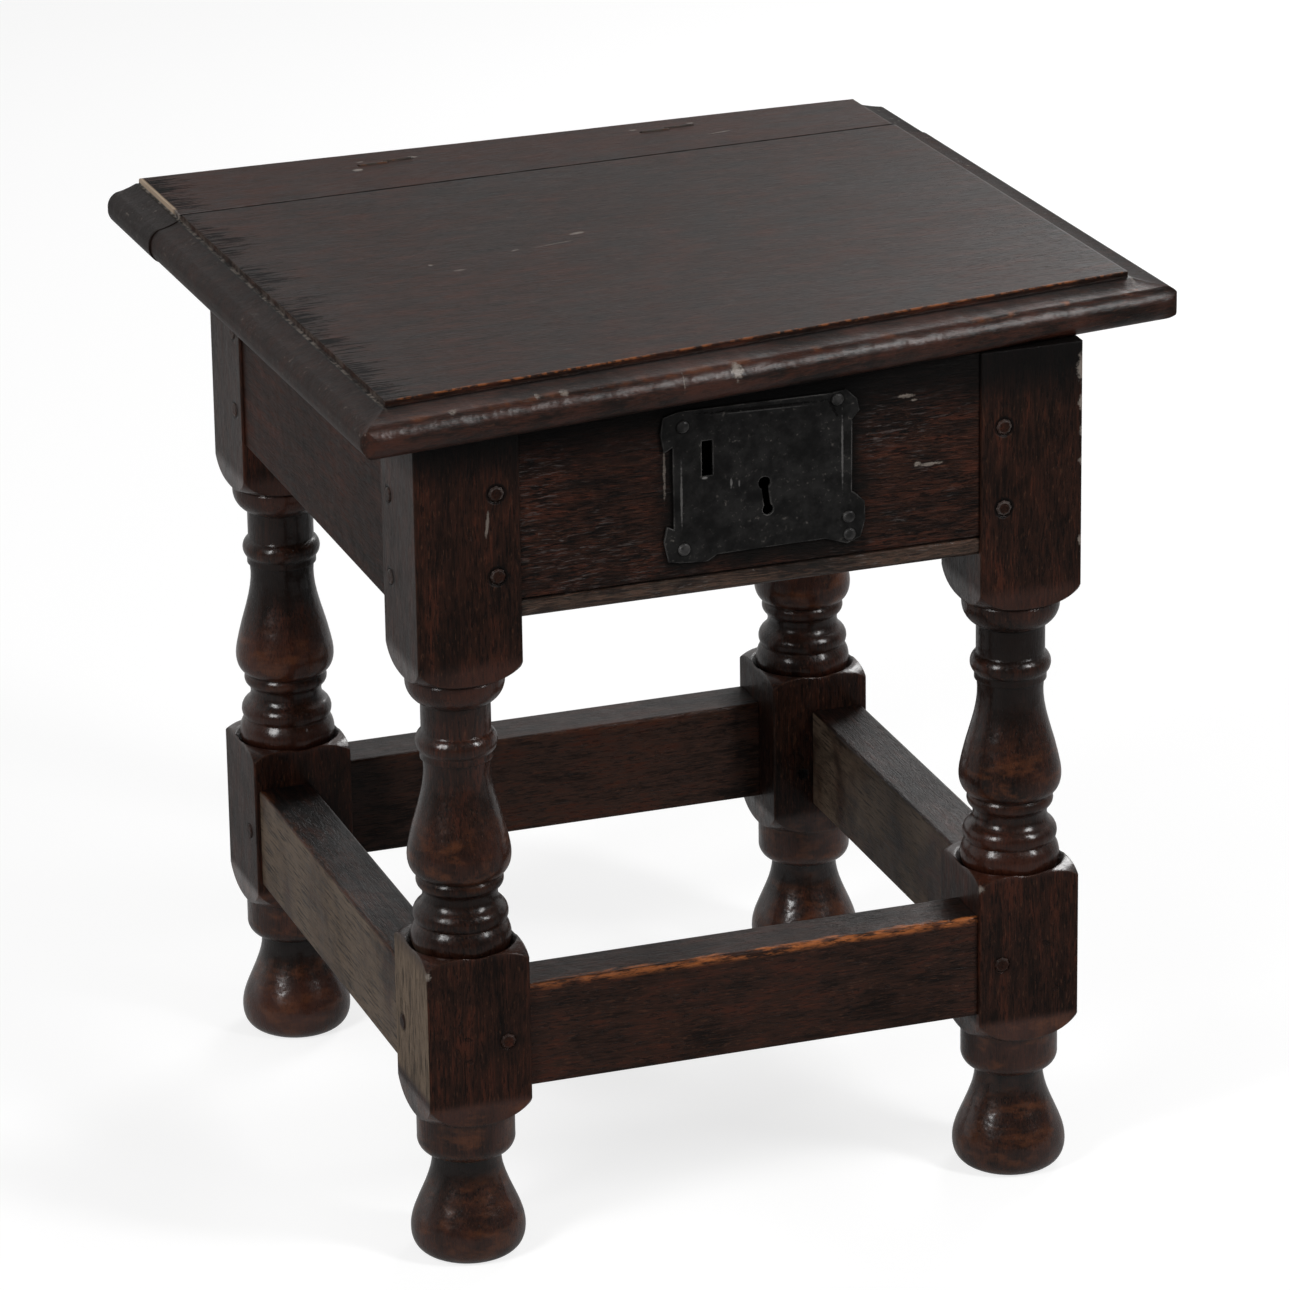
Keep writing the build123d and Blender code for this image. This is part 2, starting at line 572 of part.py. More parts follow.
with BuildPart() as lid_rear_board:
    with BuildSketch(lid_plane.offset(LID_BOTTOM)):
        with BuildLine():
            back_edge = Spline(
                (left_end - REAR_BOARD_SHIFT, LID_BACK_REACH - back_slope * left_end),
                (left_end / 2, LID_BACK_REACH - back_slope * left_end / 2 + BACK_EDGE_WAVE),
                (0, LID_BACK_REACH),
                (back_right_x / 2, LID_BACK_REACH - back_slope * back_right_x / 2 + BACK_EDGE_WAVE),
                (back_right_x, LID_BACK_REACH - back_slope * back_right_x),
            )
            Polyline(
                back_edge @ 1,
                (right_middle - right_slope * rear_joint, rear_joint),
                (left_end - REAR_BOARD_SHIFT, rear_joint),
                back_edge @ 0,
            )
        make_face()
    extrude(amount=LID_THICKNESS)
    fillet(faces().sort_by(Axis.Y)[-1].edges().filter_by(GeomType.BSPLINE), BACK_EDGE_ROUND)
    trim_ends(-REAR_BOARD_SHIFT)
    bore_lid_pegs()
    for hinge_x in (-HINGE_SPACING / 2, HINGE_SPACING / 2):
        with BuildSketch(Plane((hinge_x, HINGE_Y, HINGE_Z), x_dir=shank_across, z_dir=shank_way)):
            SlotOverall(
                2 * (WIRE_PAIR_HALF + WIRE_RADIUS + WIRE_CLEARANCE), 2 * (WIRE_RADIUS + WIRE_CLEARANCE)
            )
        extrude(amount=2 * LID_THICKNESS, mode=Mode.SUBTRACT)
        for start, top, tip in lid_wire_ends(hinge_x):
            wire(top, tip + (tip - top).normalized(), WIRE_RADIUS + WIRE_CLEARANCE, Mode.SUBTRACT)
            with Locations(top):
                Sphere(WIRE_RADIUS + WIRE_CLEARANCE, mode=Mode.SUBTRACT)
save(lid_rear_board.part, "lid_rear_board")

with BuildPart() as lid_joint_pegs:
    with BuildSketch(Plane(lid_point(0, BOARD_JOINT_Y, lid_middle), x_dir=lid_x, z_dir=lid_y)):
        with Locations(*lid_peg_sites):
            Circle(LID_PEG_RADIUS)
    extrude(amount=LID_PEG_LENGTH / 2, both=True)
save(lid_joint_pegs.part, "lid_joint_pegs")

# The rail's staple, drawn round the middle of its eye
rail_shank_end = RAIL_FACE_Y - RAIL_THICKNESS - WIRE_RADIUS - WIRE_CLEARANCE - RAIL_EYE_Y
with BuildPart() as rail_staple:
    Torus(EYE_RADIUS, WIRE_RADIUS)
    for side in (-1, 1):
        bend = Vector(side * WIRE_PAIR_HALF, rail_shank_end, 0)
        wire(Vector(side * WIRE_PAIR_HALF, -shank_start, 0), bend)
        wire(bend, bend + Vector(side * RAIL_CLENCH_LENGTH, 0, 0))
        with Locations(bend):
            Sphere(WIRE_RADIUS)

for hinge_name, hinge_x in (("left", -HINGE_SPACING / 2), ("right", HINGE_SPACING / 2)):
    with BuildPart() as lid_staple:
        with Locations(Location((hinge_x, HINGE_Y, HINGE_Z), (0, 90, 0))):
            Torus(EYE_RADIUS, WIRE_RADIUS)
        for start, top, tip in lid_wire_ends(hinge_x):
            wire(start, top)
            wire(top, tip)
            with Locations(top):
                Sphere(WIRE_RADIUS)
    save(lid_staple.part, f"hinge_lid_staple_{hinge_name}")

    save(rail_staple.part.moved(Location((hinge_x, RAIL_EYE_Y, HINGE_Z))), f"hinge_rail_staple_{hinge_name}")

with BuildPart() as rail_back:
    add(back_rail.part)
    with BuildSketch(Plane.XZ.offset(-RAIL_FACE_Y)):
        with Locations((-HINGE_SPACING / 2, HINGE_Z), (HINGE_SPACING / 2, HINGE_Z)):
            SlotOverall(
                2 * (WIRE_PAIR_HALF + WIRE_RADIUS + WIRE_CLEARANCE), 2 * (WIRE_RADIUS + WIRE_CLEARANCE)
            )
    extrude(amount=RAIL_THICKNESS, mode=Mode.SUBTRACT)
save(rail_back.part, "rail_back")

# Lock plate: ragged ears at its corners, a slot for a hasp staple and a keyhole
plate_w = PLATE_WIDTH / 2
plate_h = PLATE_HEIGHT / 2
nail_sites = [
    (-plate_w + 6, plate_h - 8.5),
    (plate_w - 8.5, plate_h - 4),
    (-plate_w + 6, -plate_h + 5.5),
    (plate_w - 2, -plate_h + 12),
    (plate_w - 1.5, -plate_h + 1.5),
]
keyhole_top = (KEYHOLE_OFFSET, -KEYHOLE_DROP)
keyhole_foot = (KEYHOLE_OFFSET + KEYHOLE_LEAN, -KEYHOLE_DROP - KEYHOLE_LENGTH)
plate_front = Plane((PLATE_X, BACK_OF_PLATE, PLATE_Z), x_dir=(1, 0, 0), z_dir=(0, -1, 0))

with BuildPart() as lock_plate:
    with BuildSketch(plate_front):
        with BuildLine():
            Polyline(
                (-plate_w - EAR * 0.85, plate_h - 2),
                (-plate_w + 4, plate_h + 0.6),
                (plate_w - 12, plate_h),
                (plate_w - 3, plate_h + 1.2),
                (plate_w + EAR * 0.5, plate_h - 5),
                (plate_w + EAR * 0.75, plate_h - 12),
                (plate_w + 0.4, plate_h - 17),
                (plate_w, -plate_h + 27),
                (plate_w + EAR * 0.45, -plate_h + 25),
                (plate_w + EAR * 1.2, -plate_h + 20),
                (plate_w + EAR * 1.25, -plate_h + 9),
                (plate_w + EAR * 0.8, -plate_h - 1),
                (plate_w - 3, -plate_h - 4),
                (plate_w - 16, -plate_h + 0.5),
                (-plate_w + 26, -plate_h),
                (-plate_w + 20, -plate_h - 3.5),
                (-plate_w + 12, -plate_h - 3),
                (-plate_w + 4, -plate_h - 2.5),
                (-plate_w - EAR * 0.5, -plate_h - 1),
                (-plate_w - EAR * 0.9, -plate_h + 11),
                (-plate_w - EAR * 0.6, -plate_h + 20),
                (-plate_w + 0.3, -plate_h + 18),
                (-plate_w, plate_h - 20),
                (-plate_w - EAR * 0.8, plate_h - 23),
                (-plate_w - EAR * 1.1, plate_h - 12),
                close=True,
            )
        make_face()
        with Locations((SLOT_OFFSET, SLOT_RISE)):
            Rectangle(SLOT_WIDTH, SLOT_HEIGHT, mode=Mode.SUBTRACT)
        with Locations(keyhole_top):
            Circle(KEYHOLE_TOP_RADIUS, mode=Mode.SUBTRACT)
        with Locations(keyhole_foot):
            Circle(KEYHOLE_FOOT_RADIUS, mode=Mode.SUBTRACT)
        with BuildLine():
            Polyline(
                (keyhole_top[0] - KEYHOLE_WAIST / 2, keyhole_top[1]),
                (keyhole_top[0] + KEYHOLE_WAIST / 2, keyhole_top[1]),
                (keyhole_foot[0] + KEYHOLE_WAIST / 2, keyhole_foot[1]),
                (keyhole_foot[0] - KEYHOLE_WAIST / 2, keyhole_foot[1]),
                close=True,
            )
        make_face(mode=Mode.SUBTRACT)
        with Locations(*nail_sites):
            Circle(NAIL_RADIUS + NAIL_CLEARANCE, mode=Mode.SUBTRACT)
    extrude(amount=PLATE_THICKNESS)
save(lock_plate.part, "lock_plate")

with BuildPart() as lock_plate_nails:
    with BuildSketch(plate_front.offset(PLATE_THICKNESS)):
        with Locations(*nail_sites):
            Circle(NAIL_HEAD_RADIUS)
    extrude(amount=NAIL_HEAD_HEIGHT)
    fillet(faces().group_by(Axis.Y)[0].edges(), NAIL_HEAD_HEIGHT * 0.8)
    with BuildSketch(plate_front.offset(PLATE_THICKNESS)):
        with Locations(*nail_sites):
            Circle(NAIL_RADIUS)
    extrude(amount=-NAIL_LENGTH)
save(lock_plate_nails.part, "lock_plate_nails")

with BuildPart() as rail_front:
    add(front_rail.part)
    with BuildSketch(plate_front):
        with Locations(*nail_sites):
            Circle(NAIL_RADIUS + NAIL_CLEARANCE)
    extrude(amount=-(NAIL_LENGTH - PLATE_THICKNESS + NAIL_CLEARANCE), mode=Mode.SUBTRACT)
save(rail_front.part, "rail_front")

# Lock works behind the plate. The bolt is drawn back to the right, and slides left behind the slot.
pocket_right = PLATE_X + PLATE_WIDTH / 2 - POCKET_MARGIN
bolt_left = SLOT_X + SLOT_WIDTH / 2 + BOLT_SLOT_GAP
bolt_right = pocket_right - BOLT_CLEARANCE
bolt_front = BACK_OF_PLATE + BOLT_CLEARANCE
bolt_back = bolt_front + BOLT_THICKNESS
first_guide_x = SLOT_X + FIRST_GUIDE_OFFSET
lug_x = first_guide_x + GUIDE_WIDTH / 2 + BOLT_CLEARANCE + BOLT_TRAVEL + LUG_WIDTH / 2
talon_x = lug_x + TALON_OFFSET
bolt_bottom = SLOT_Z - BOLT_HEIGHT / 2
bolt_top = SLOT_Z + BOLT_HEIGHT / 2

with BuildPart() as lock_bolt:
    with BuildSketch(Plane.XZ.offset(-bolt_front)):
        with Locations(((bolt_left + bolt_right) / 2, SLOT_Z)):
            Rectangle(bolt_right - bolt_left, BOLT_HEIGHT)
        with Locations((lug_x, bolt_bottom - LUG_HEIGHT / 2)):
            Rectangle(LUG_WIDTH, LUG_HEIGHT)
        with Locations((talon_x, bolt_bottom)):
            Circle(TALON_RADIUS, mode=Mode.SUBTRACT)
    extrude(amount=-BOLT_THICKNESS)
save(lock_bolt.part, "lock_bolt")

guide_open = BOLT_HEIGHT + 2 * BOLT_CLEARANCE
guide_depth = bolt_back + BOLT_CLEARANCE - BACK_OF_PLATE
with BuildPart() as lock_bolt_guides:
    with BuildSketch(Plane.YZ.offset(first_guide_x - GUIDE_WIDTH / 2)):
        with Locations((BACK_OF_PLATE + (guide_depth + GUIDE_BAR) / 2, SLOT_Z)):
            Rectangle(guide_depth + GUIDE_BAR, guide_open + 2 * GUIDE_BAR)
        with Locations((BACK_OF_PLATE + guide_depth / 2, SLOT_Z)):
            Rectangle(guide_depth, guide_open, mode=Mode.SUBTRACT)
    extrude(amount=GUIDE_WIDTH)
    with Locations((GUIDE_SPACING, 0, 0)):
        add(lock_bolt_guides.part)
save(lock_bolt_guides.part, "lock_bolt_guides")

second_guide_x = first_guide_x + GUIDE_SPACING
guide_top = SLOT_Z + guide_open / 2 + GUIDE_BAR
spring_base = guide_top + 2 * BOLT_CLEARANCE
spring_rest = bolt_top + BOLT_CLEARANCE
spring_front = BACK_OF_PLATE + BOLT_CLEARANCE
with BuildPart() as lock_spring:
    with BuildSketch(Plane.XZ.offset(-spring_front)):
        with BuildLine() as spring_line:
            Polyline(
                (second_guide_x + 10, spring_base),
                (second_guide_x - GUIDE_WIDTH, spring_base),
                (first_guide_x + 14, spring_rest),
                (first_guide_x + 8, spring_rest + 1.5),
                (first_guide_x + 8, spring_rest + 1.5 + SPRING_THICKNESS),
                (first_guide_x + 14, spring_rest + SPRING_THICKNESS),
                (second_guide_x - GUIDE_WIDTH, spring_base + SPRING_THICKNESS),
                (second_guide_x + 10, spring_base + SPRING_THICKNESS),
                close=True,
            )
        make_face()
    extrude(amount=-SPRING_WIDTH)
    with Locations((second_guide_x + 8, BACK_OF_PLATE + (SPRING_WIDTH + BOLT_CLEARANCE) / 2, spring_base)):
        Box(4, SPRING_WIDTH + BOLT_CLEARANCE, 3)
save(lock_spring.part, "lock_spring")
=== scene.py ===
import bpy
from math import cos, radians, sin
from mathutils import Matrix, Vector

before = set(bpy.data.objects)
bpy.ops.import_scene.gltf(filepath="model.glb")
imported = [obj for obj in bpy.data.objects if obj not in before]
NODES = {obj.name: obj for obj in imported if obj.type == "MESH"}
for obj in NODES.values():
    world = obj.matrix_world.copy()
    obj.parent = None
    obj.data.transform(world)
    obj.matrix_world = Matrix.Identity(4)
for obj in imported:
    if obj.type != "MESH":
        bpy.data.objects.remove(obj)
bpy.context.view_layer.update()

# Lines of the stool that the wear and the marks follow, in metres and from the floor up
FRAME_MIDDLE = (-0.0039, 0.0187)
LEG_X, LEG_Y = 0.169, 0.172  # from the middle of the frame to the middle of a leg
LOWER_BLOCK_FOOT = 0.106
TURNING_FOOT, TURNING_TOP = 0.190, 0.376
VASE_FOOT, VASE_TOP = 0.222, 0.345
LEG_FRONT_FACE, RIGHT_ARRIS = -0.1843, 0.1961
RAIL_FRONT_FACE, PLATE_FACE = -0.1823, -0.1839
PLATE_MIDDLE, PLATE_HALF = (0.0021, 0.462), (0.047, 0.040)
BEAD_TOP = 0.4070
STRETCHER_TOP = 0.171
BOX_HALF = (0.173, 0.176)
BOX_FOOT, BOX_TOP = 0.4000, 0.5205
LID_FOOT, LID_TOP = 0.5178, 0.5453
LID_YAW = radians(1.55)
BOARD_JOINT = 0.1410  # where the rear board of the lid starts, along the lid's own Y
ARRIS = 0.0016  # how round the arrises have worn
PEG_RING_RADIUS = 0.0052


class Bench:
    """A node tree being put together, with short names for the nodes that this stool needs."""

    def __init__(self, tree):
        self.tree = tree

    def feed(self, socket, value):
        if isinstance(value, bpy.types.NodeSocket):
            self.tree.links.new(value, socket)
        elif value is not None:
            socket.default_value = value

    def node(self, kind, **settings):
        made = self.tree.nodes.new(kind)
        for key, value in settings.items():
            setattr(made, key, value)
        return made

    def fed(self, kind, values, **settings):
        """A node with its first sockets fed in their order. None leaves a socket as it is."""
        made = self.node(kind, **settings)
        for socket, value in zip(made.inputs, values):
            self.feed(socket, value)
        return made.outputs

    def math(self, operation, a, b=None, c=None, clamp=False):
        return self.fed("ShaderNodeMath", (a, b, c), operation=operation, use_clamp=clamp)[0]

    def less(self, a, b):
        return self.math("SUBTRACT", a, b)

    def rest(self, mask):
        """What the mask leaves over."""
        return self.less(1.0, mask)

    def times(self, first, *others):
        for other in others:
            first = self.math("MULTIPLY", first, other)
        return first

    def line(self, value, slope, start, clamp=False):
        return self.math("MULTIPLY_ADD", value, slope, start, clamp)

    def swing(self, value, reach, onto, clamp=False):
        """Let a pattern around one half push onto up and down."""
        return self.line(self.less(value, 0.5), reach, onto, clamp)

    def largest(self, first, *others):
        for other in others:
            first = self.math("MAXIMUM", first, other)
        return first

    def away(self, value, centre):
        return self.math("ABSOLUTE", self.less(value, centre))

    def near(self, value, centre, reach):
        """1 where the value is at the centre, 0 a reach away."""
        return self.fade(self.away(value, centre), reach, reach * 0.3)

    def vector(self, operation, a, b=None, scale=None):
        made = self.fed("ShaderNodeVectorMath", (a, b, None, scale), operation=operation)
        return made[1 if operation in ("LENGTH", "DOT_PRODUCT") else 0]

    def split(self, vector):
        return self.fed("ShaderNodeSeparateXYZ", (vector,))

    def join(self, x, y, z):
        return self.fed("ShaderNodeCombineXYZ", (x, y, z))[0]

    def turn(self, vector, place=(0, 0, 0), angles=(0, 0, 0), scale=(1, 1, 1)):
        """Take place away, turn by minus the angles, then scale."""
        return self.fed("ShaderNodeMapping", (vector, place, angles, scale), vector_type="TEXTURE")[0]

    def noise(self, vector, scale=1.0, detail=2.0, rough=0.5, bend=0.0):
        made = self.node("ShaderNodeTexNoise")
        given = {"Vector": vector, "Scale": scale, "Detail": detail, "Roughness": rough, "Distortion": bend}
        for name, value in given.items():
            self.feed(made.inputs[name], value)
        return made.outputs["Fac"]

    def fibres(self, along, length, width, detail=3.0, rough=0.6, bend=0.0):
        """Noise that is drawn out along the grain."""
        return self.noise(self.turn(along, scale=(length, width, width)), 1.0, detail, rough, bend)

    def fade(self, value, start, end, low=0.0, high=1.0):
        """Smooth step from low at start to high at end. start may be the larger of the two."""
        given = (value, start, end, low, high)
        return self.fed("ShaderNodeMapRange", given, interpolation_type="SMOOTHSTEP")[0]

    def mix(self, amount, a, b):
        made = self.node("ShaderNodeMix", data_type="RGBA")
        self.feed(made.inputs[0], amount)
        for socket, color in zip(made.inputs[6:8], (a, b)):
            self.feed(socket, (*color, 1) if isinstance(color, tuple) else color)
        return made.outputs[2]

    def bump(self, height, normal, distance):
        made = self.node("ShaderNodeBump")
        self.feed(made.inputs["Height"], height)
        self.feed(made.inputs["Normal"], normal)
        made.inputs["Strength"].default_value = 1.0
        made.inputs["Distance"].default_value = distance
        return made.outputs[0]

    def group(self, tree, **given):
        made = self.node("ShaderNodeGroup", node_tree=tree)
        for name, value in given.items():
            self.feed(made.inputs[name], value)
        return made.outputs


def new_group(name, inputs, outputs):
    """An empty node group. Inputs are (name, kind, default), outputs are (name, kind)."""
    tree = bpy.data.node_groups.new(name, "ShaderNodeTree")
    for label, kind, value in inputs:
        socket = tree.interface.new_socket(label, in_out="INPUT", socket_type=f"NodeSocket{kind}")
        if value is not None:
            socket.default_value = value
    for label, kind in outputs:
        tree.interface.new_socket(label, in_out="OUTPUT", socket_type=f"NodeSocket{kind}")
    bench = Bench(tree)
    return tree, bench, bench.node("NodeGroupInput").outputs, bench.node("NodeGroupOutput").inputs


def make_oak_grain():
    """Oak seen along its grain, which runs along X of the vector given."""
    tree, bench, given, out = new_group(
        "oak_grain",
        [("Vector", "Vector", None), ("Figure", "Float", 1.0), ("Pore", "Float", 0.6)],
        [("Streak", "Float"), ("Pores", "Float"), ("Fibre", "Float"), ("Height", "Float")],
    )
    sway = bench.fibres(given["Vector"], 0.16, 0.05, 2.0, 0.5)
    sway = bench.vector("SCALE", bench.join(0, sway, sway), scale=0.012)
    place = bench.vector("ADD", given["Vector"], sway)
    bands = bench.fibres(place, 0.14, 0.011, 4.0)
    rings = bench.fibres(place, 0.055, 0.0026)
    fibre = bench.fibres(place, 0.014, 0.0008)
    streak = bench.math("ADD", bench.times(bands, 0.35), bench.times(rings, 0.65))
    streak = bench.fade(bench.swing(fibre, 0.8, streak), 0.22, 0.78)
    bench.feed(out["Streak"], bench.swing(streak, given["Figure"], 0.5))
    dashes = bench.fibres(place, 0.0075, 0.0009, 2.5)
    porous = bench.times(bench.fade(dashes, 0.54, 0.61), bench.fade(rings, 0.36, 0.52))
    bench.feed(out["Pores"], bench.times(porous, given["Pore"]))
    bench.feed(out["Fibre"], fibre)
    height = bench.line(rings, 0.30, bench.times(fibre, 0.45))
    bench.feed(out["Height"], bench.line(porous, -0.5, height))
    return tree


def make_edge_wear_and_shade():
    """Where hands and feet have rubbed an arris, and painted shade with grime in corners and creases, found by
    ambient occlusion.
    """
    tree, bench, given, out = new_group(
        "edge_wear_and_nook_shade",
        [("Vector", "Vector", None), ("Width", "Float", ARRIS), ("Seed", "Float", 0.0)],
        [("Rubbed", "Float"), ("ShadeAndGrime", "Float"), ("Soft", "Vector")],
    )
    rounded = bench.fed("ShaderNodeBevel", (given["Width"],), samples=4)[0]
    flat = bench.node("ShaderNodeNewGeometry").outputs["Normal"]
    turned = bench.rest(bench.vector("DOT_PRODUCT", rounded, flat))
    broken = bench.noise(bench.vector("ADD", given["Vector"], bench.join(given["Seed"], 0, 0)), 70.0, 5.0, 0.7)
    nook = bench.node("ShaderNodeAmbientOcclusion", samples=4, only_local=False)
    bench.feed(nook.inputs["Distance"], 0.007)
    shut = bench.rest(nook.outputs["AO"])
    edge = bench.times(bench.fade(turned, 0.01, 0.14), bench.fade(broken, 0.36, 0.60), bench.fade(shut, 0.45, 0.15))
    bench.feed(out["Rubbed"], edge)
    bench.feed(out["ShadeAndGrime"], bench.fade(shut, 0.30, 0.95))
    bench.feed(out["Soft"], rounded)
    return tree


def make_mark():
    """One small mark: a soft-edged blob at a place, stretched and turned, with a ragged outline."""
    tree, bench, given, out = new_group(
        "mark",
        [
            ("Vector", "Vector", None),
            ("Place", "Vector", None),
            ("Angles", "Vector", None),
            ("Size", "Vector", (1, 1, 1)),
            ("Strength", "Float", 1.0),
            ("Ragged", "Float", 0.0),
        ],
        [("Mark", "Float")],
    )
    local = bench.turn(given["Vector"], given["Place"], given["Angles"], given["Size"])
    away = bench.math("ADD", bench.vector("LENGTH", local), given["Ragged"])
    bench.feed(out["Mark"], bench.times(bench.fade(away, 1.0, 0.5), given["Strength"]))
    return tree


OAK_GRAIN = make_oak_grain()
EDGE_WEAR_AND_SHADE = make_edge_wear_and_shade()
MARK = make_mark()

# Turns that lay the grain along X of the grain's own vector
ALONG_X = (0, 0, 0)
ALONG_Y = (0, 0, radians(90))
ALONG_Z = (0, radians(-90), 0)

# Colours of the old oak
# Near-black for soot in pores and dirt, and for painted shade in corners, creases, holes and under the lid
SOOT_AND_SHADE = (0.0012, 0.0010, 0.0009)
PLATE_SOOT = (0.0022, 0.0016, 0.0012)
DARK = (0.0062, 0.0028, 0.0018)
BROWN = (0.0200, 0.0074, 0.0044)
RED = (0.045, 0.0128, 0.0066)
GLOW = (0.105, 0.034, 0.0125)
RUBBED = (0.085, 0.036, 0.019)
ORANGE = (0.34, 0.105, 0.028)
PALE = (0.20, 0.17, 0.145)
DUSTY = (0.128, 0.092, 0.064)
LEG_DUST = (0.170, 0.126, 0.090)
PAINTED_SHEEN = (0.105, 0.092, 0.088)
BARE = (0.45, 0.34, 0.24)
DRY_DARK, DRY_PALE = (0.030, 0.0165, 0.009), (0.104, 0.060, 0.033)
PEG_RIM_GLINT_AND_WEAR = (0.16, 0.145, 0.135)

# Colours of the iron
IRON_SPECK = (0.11, 0.10, 0.09)
IRON_NICK_AND_GLINT = (0.15, 0.145, 0.14)
RUST = (0.10, 0.035, 0.014)


def marks(bench, place, spots):
    """All the marks of one kind on a piece, scars and painted shade and highlights alike. Each is (place, half
    sizes, angles, strength).
    """
    ragged = bench.line(bench.noise(place, 420.0, 3.0, 0.6), 1.4, -0.7)
    found = []
    for spot, size, angles, strength in spots:
        given = {"Place": spot, "Size": size, "Angles": angles, "Strength": strength}
        found.append(bench.group(MARK, Vector=place, Ragged=ragged, **given)["Mark"])
    return bench.largest(*found)


def on_front(y, depth, spots):
    """Marks on a face towards the front: (x, z, half width, half height, lean in degrees, strength)."""
    return [
        ((x, y, z), (wide, depth, high), (0, radians(lean), 0), strength)
        for x, z, wide, high, lean, strength in spots
    ]


def on_lid(spots):
    """Scars on top of the lid: (x, y, half length, half width, turn in degrees, strength)."""
    return [
        ((x, y, LID_TOP), (long, wide, 0.002), (0, 0, radians(turn)), strength)
        for x, y, long, wide, turn, strength in spots
    ]


class Oak:
    """One oak finish while it is being made: its colour, roughness and height so far."""

    def __init__(self, name, grain, figure=1.0, pore=0.6, rub=0.5, edge=RUBBED, dark=DARK, brown=BROWN,
                 red=RED, roughness=0.42, seed=0.0, grime_and_shade=0.8, dented=1.5):
        self.material = bpy.data.materials.new(name)
        self.material.use_nodes = True
        tree = self.material.node_tree
        self.shader = tree.nodes["Principled BSDF"]
        bench = self.bench = Bench(tree)
        place = self.place = bench.node("ShaderNodeTexCoord").outputs["Object"]
        self.x, self.y, self.z = bench.split(place)
        self.facing = bench.split(bench.node("ShaderNodeNewGeometry").outputs["Normal"])
        along = self.along = bench.turn(place, (seed, seed * 0.7, seed * 0.3), grain)
        wood = bench.group(OAK_GRAIN, Vector=along, Figure=figure, Pore=pore)
        wear_and_shade = self.wear_and_shade = bench.group(EDGE_WEAR_AND_SHADE, Vector=place, Seed=seed)
        self.patch = bench.noise(place, 11.0, 4.0, 0.6)
        speck = bench.fibres(along, 0.030, 0.009, 5.0, 0.65, 0.3)
        tone = bench.swing(self.patch, 1.1, bench.swing(wood["Streak"], 0.65, 0.5))
        tone = self.tone = bench.swing(speck, 1.9, tone, clamp=True)
        color = bench.mix(bench.fade(tone, 0.0, 0.60), dark, brown)
        color = bench.mix(bench.fade(tone, 0.52, 1.0), color, red)
        flecks = bench.fibres(along, 0.0060, 0.0013, 2.0)
        color = bench.mix(bench.fade(flecks, 0.60, 0.70, 0.0, 0.35), color, RUBBED)
        self.color = bench.mix(bench.times(wood["Pores"], 0.95), color, SOOT_AND_SHADE)
        self.rough = bench.line(wood["Fibre"], 0.30, roughness - 0.15)
        self.dents = bench.noise(place, 60.0, 3.0, 0.5)
        self.height = bench.line(self.dents, dented, wood["Height"])
        self.polish = None
        self.stain(bench.times(wear_and_shade["Rubbed"], rub), edge)
        # Painted shade with grime in corners and creases, found by ambient occlusion
        self.stain(bench.times(wear_and_shade["ShadeAndGrime"], grime_and_shade), SOOT_AND_SHADE)

    def stain(self, amount, color, rough=None, lift=None):
        """Lay a colour over what is there, and change the roughness and height under it."""
        self.color = self.bench.mix(amount, self.color, color)
        if rough is not None:
            self.roughen(amount, rough)
        if lift is not None:
            self.height = self.bench.line(amount, lift, self.height)

    def roughen(self, amount, rough):
        self.rough = self.bench.line(amount, rough, self.rough)

    def toned(self, start, end, low, high):
        """A mask that follows the tone of the wood."""
        return self.bench.fade(self.tone, start, end, low, high)

    def patchy(self, low, high):
        """Wax that has stayed on in some patches and gone in others."""
        return self.bench.fade(self.patch, 0.3, 0.6, low, high)

    def shadow_under_lid(self):
        """Painted shadow of the lid's overhang on the last inch under the lid."""
        high = self.bench.line(self.patch, 0.030, self.z)
        self.stain(self.bench.fade(high, 0.492, 0.522, 0.0, 0.93), SOOT_AND_SHADE, rough=0.2)

    def dry_inside(self):
        """The dry, unwaxed oak of the inside of the box."""
        bench = self.bench
        wide = bench.away(self.x, FRAME_MIDDLE[0])
        deep = bench.away(self.y, FRAME_MIDDLE[1])
        self.dry(bench.times(
            bench.fade(wide, BOX_HALF[0] + 0.0005, BOX_HALF[0] - 0.0005),
            bench.fade(deep, BOX_HALF[1] + 0.0005, BOX_HALF[1] - 0.0005),
            bench.times(
                bench.fade(self.z, BOX_FOOT, BOX_FOOT + 0.0030),
                bench.fade(self.z, BOX_TOP, BOX_TOP - 0.0015),
            ),
        ))

    def dry(self, where):
        bench = self.bench
        bare = bench.mix(self.tone, DRY_DARK, DRY_PALE)
        # Less of the dry colour where the painted shade and grime of the corners lie
        self.stain(bench.times(where, bench.line(self.wear_and_shade["ShadeAndGrime"], -0.6, 1.0)), bare, rough=0.3)
        if self.polish is not None:
            self.polish = bench.times(self.polish, bench.rest(where))

    def finish(self, gloss=0.10, relief=0.0005, coat_roughness=0.20, wax_relief=0.0010):
        bench, shader = self.bench, self.shader
        bench.feed(shader.inputs["Base Color"], self.color)
        bench.feed(shader.inputs["Roughness"], self.rough)
        bench.feed(shader.inputs["Normal"], bench.bump(self.height, self.wear_and_shade["Soft"], relief))
        shader.inputs["Specular IOR Level"].default_value = gloss
        if self.polish is not None:
            # The wax has filled the grain, so it follows the dents and the soft arrises alone
            arris = bench.fed("ShaderNodeBevel", (ARRIS,), samples=4)[0]
            bench.feed(shader.inputs["Coat Normal"], bench.bump(self.dents, arris, wax_relief))
            bench.feed(shader.inputs["Coat Weight"], self.polish)
            shader.inputs["Coat Roughness"].default_value = coat_roughness
        return self.material


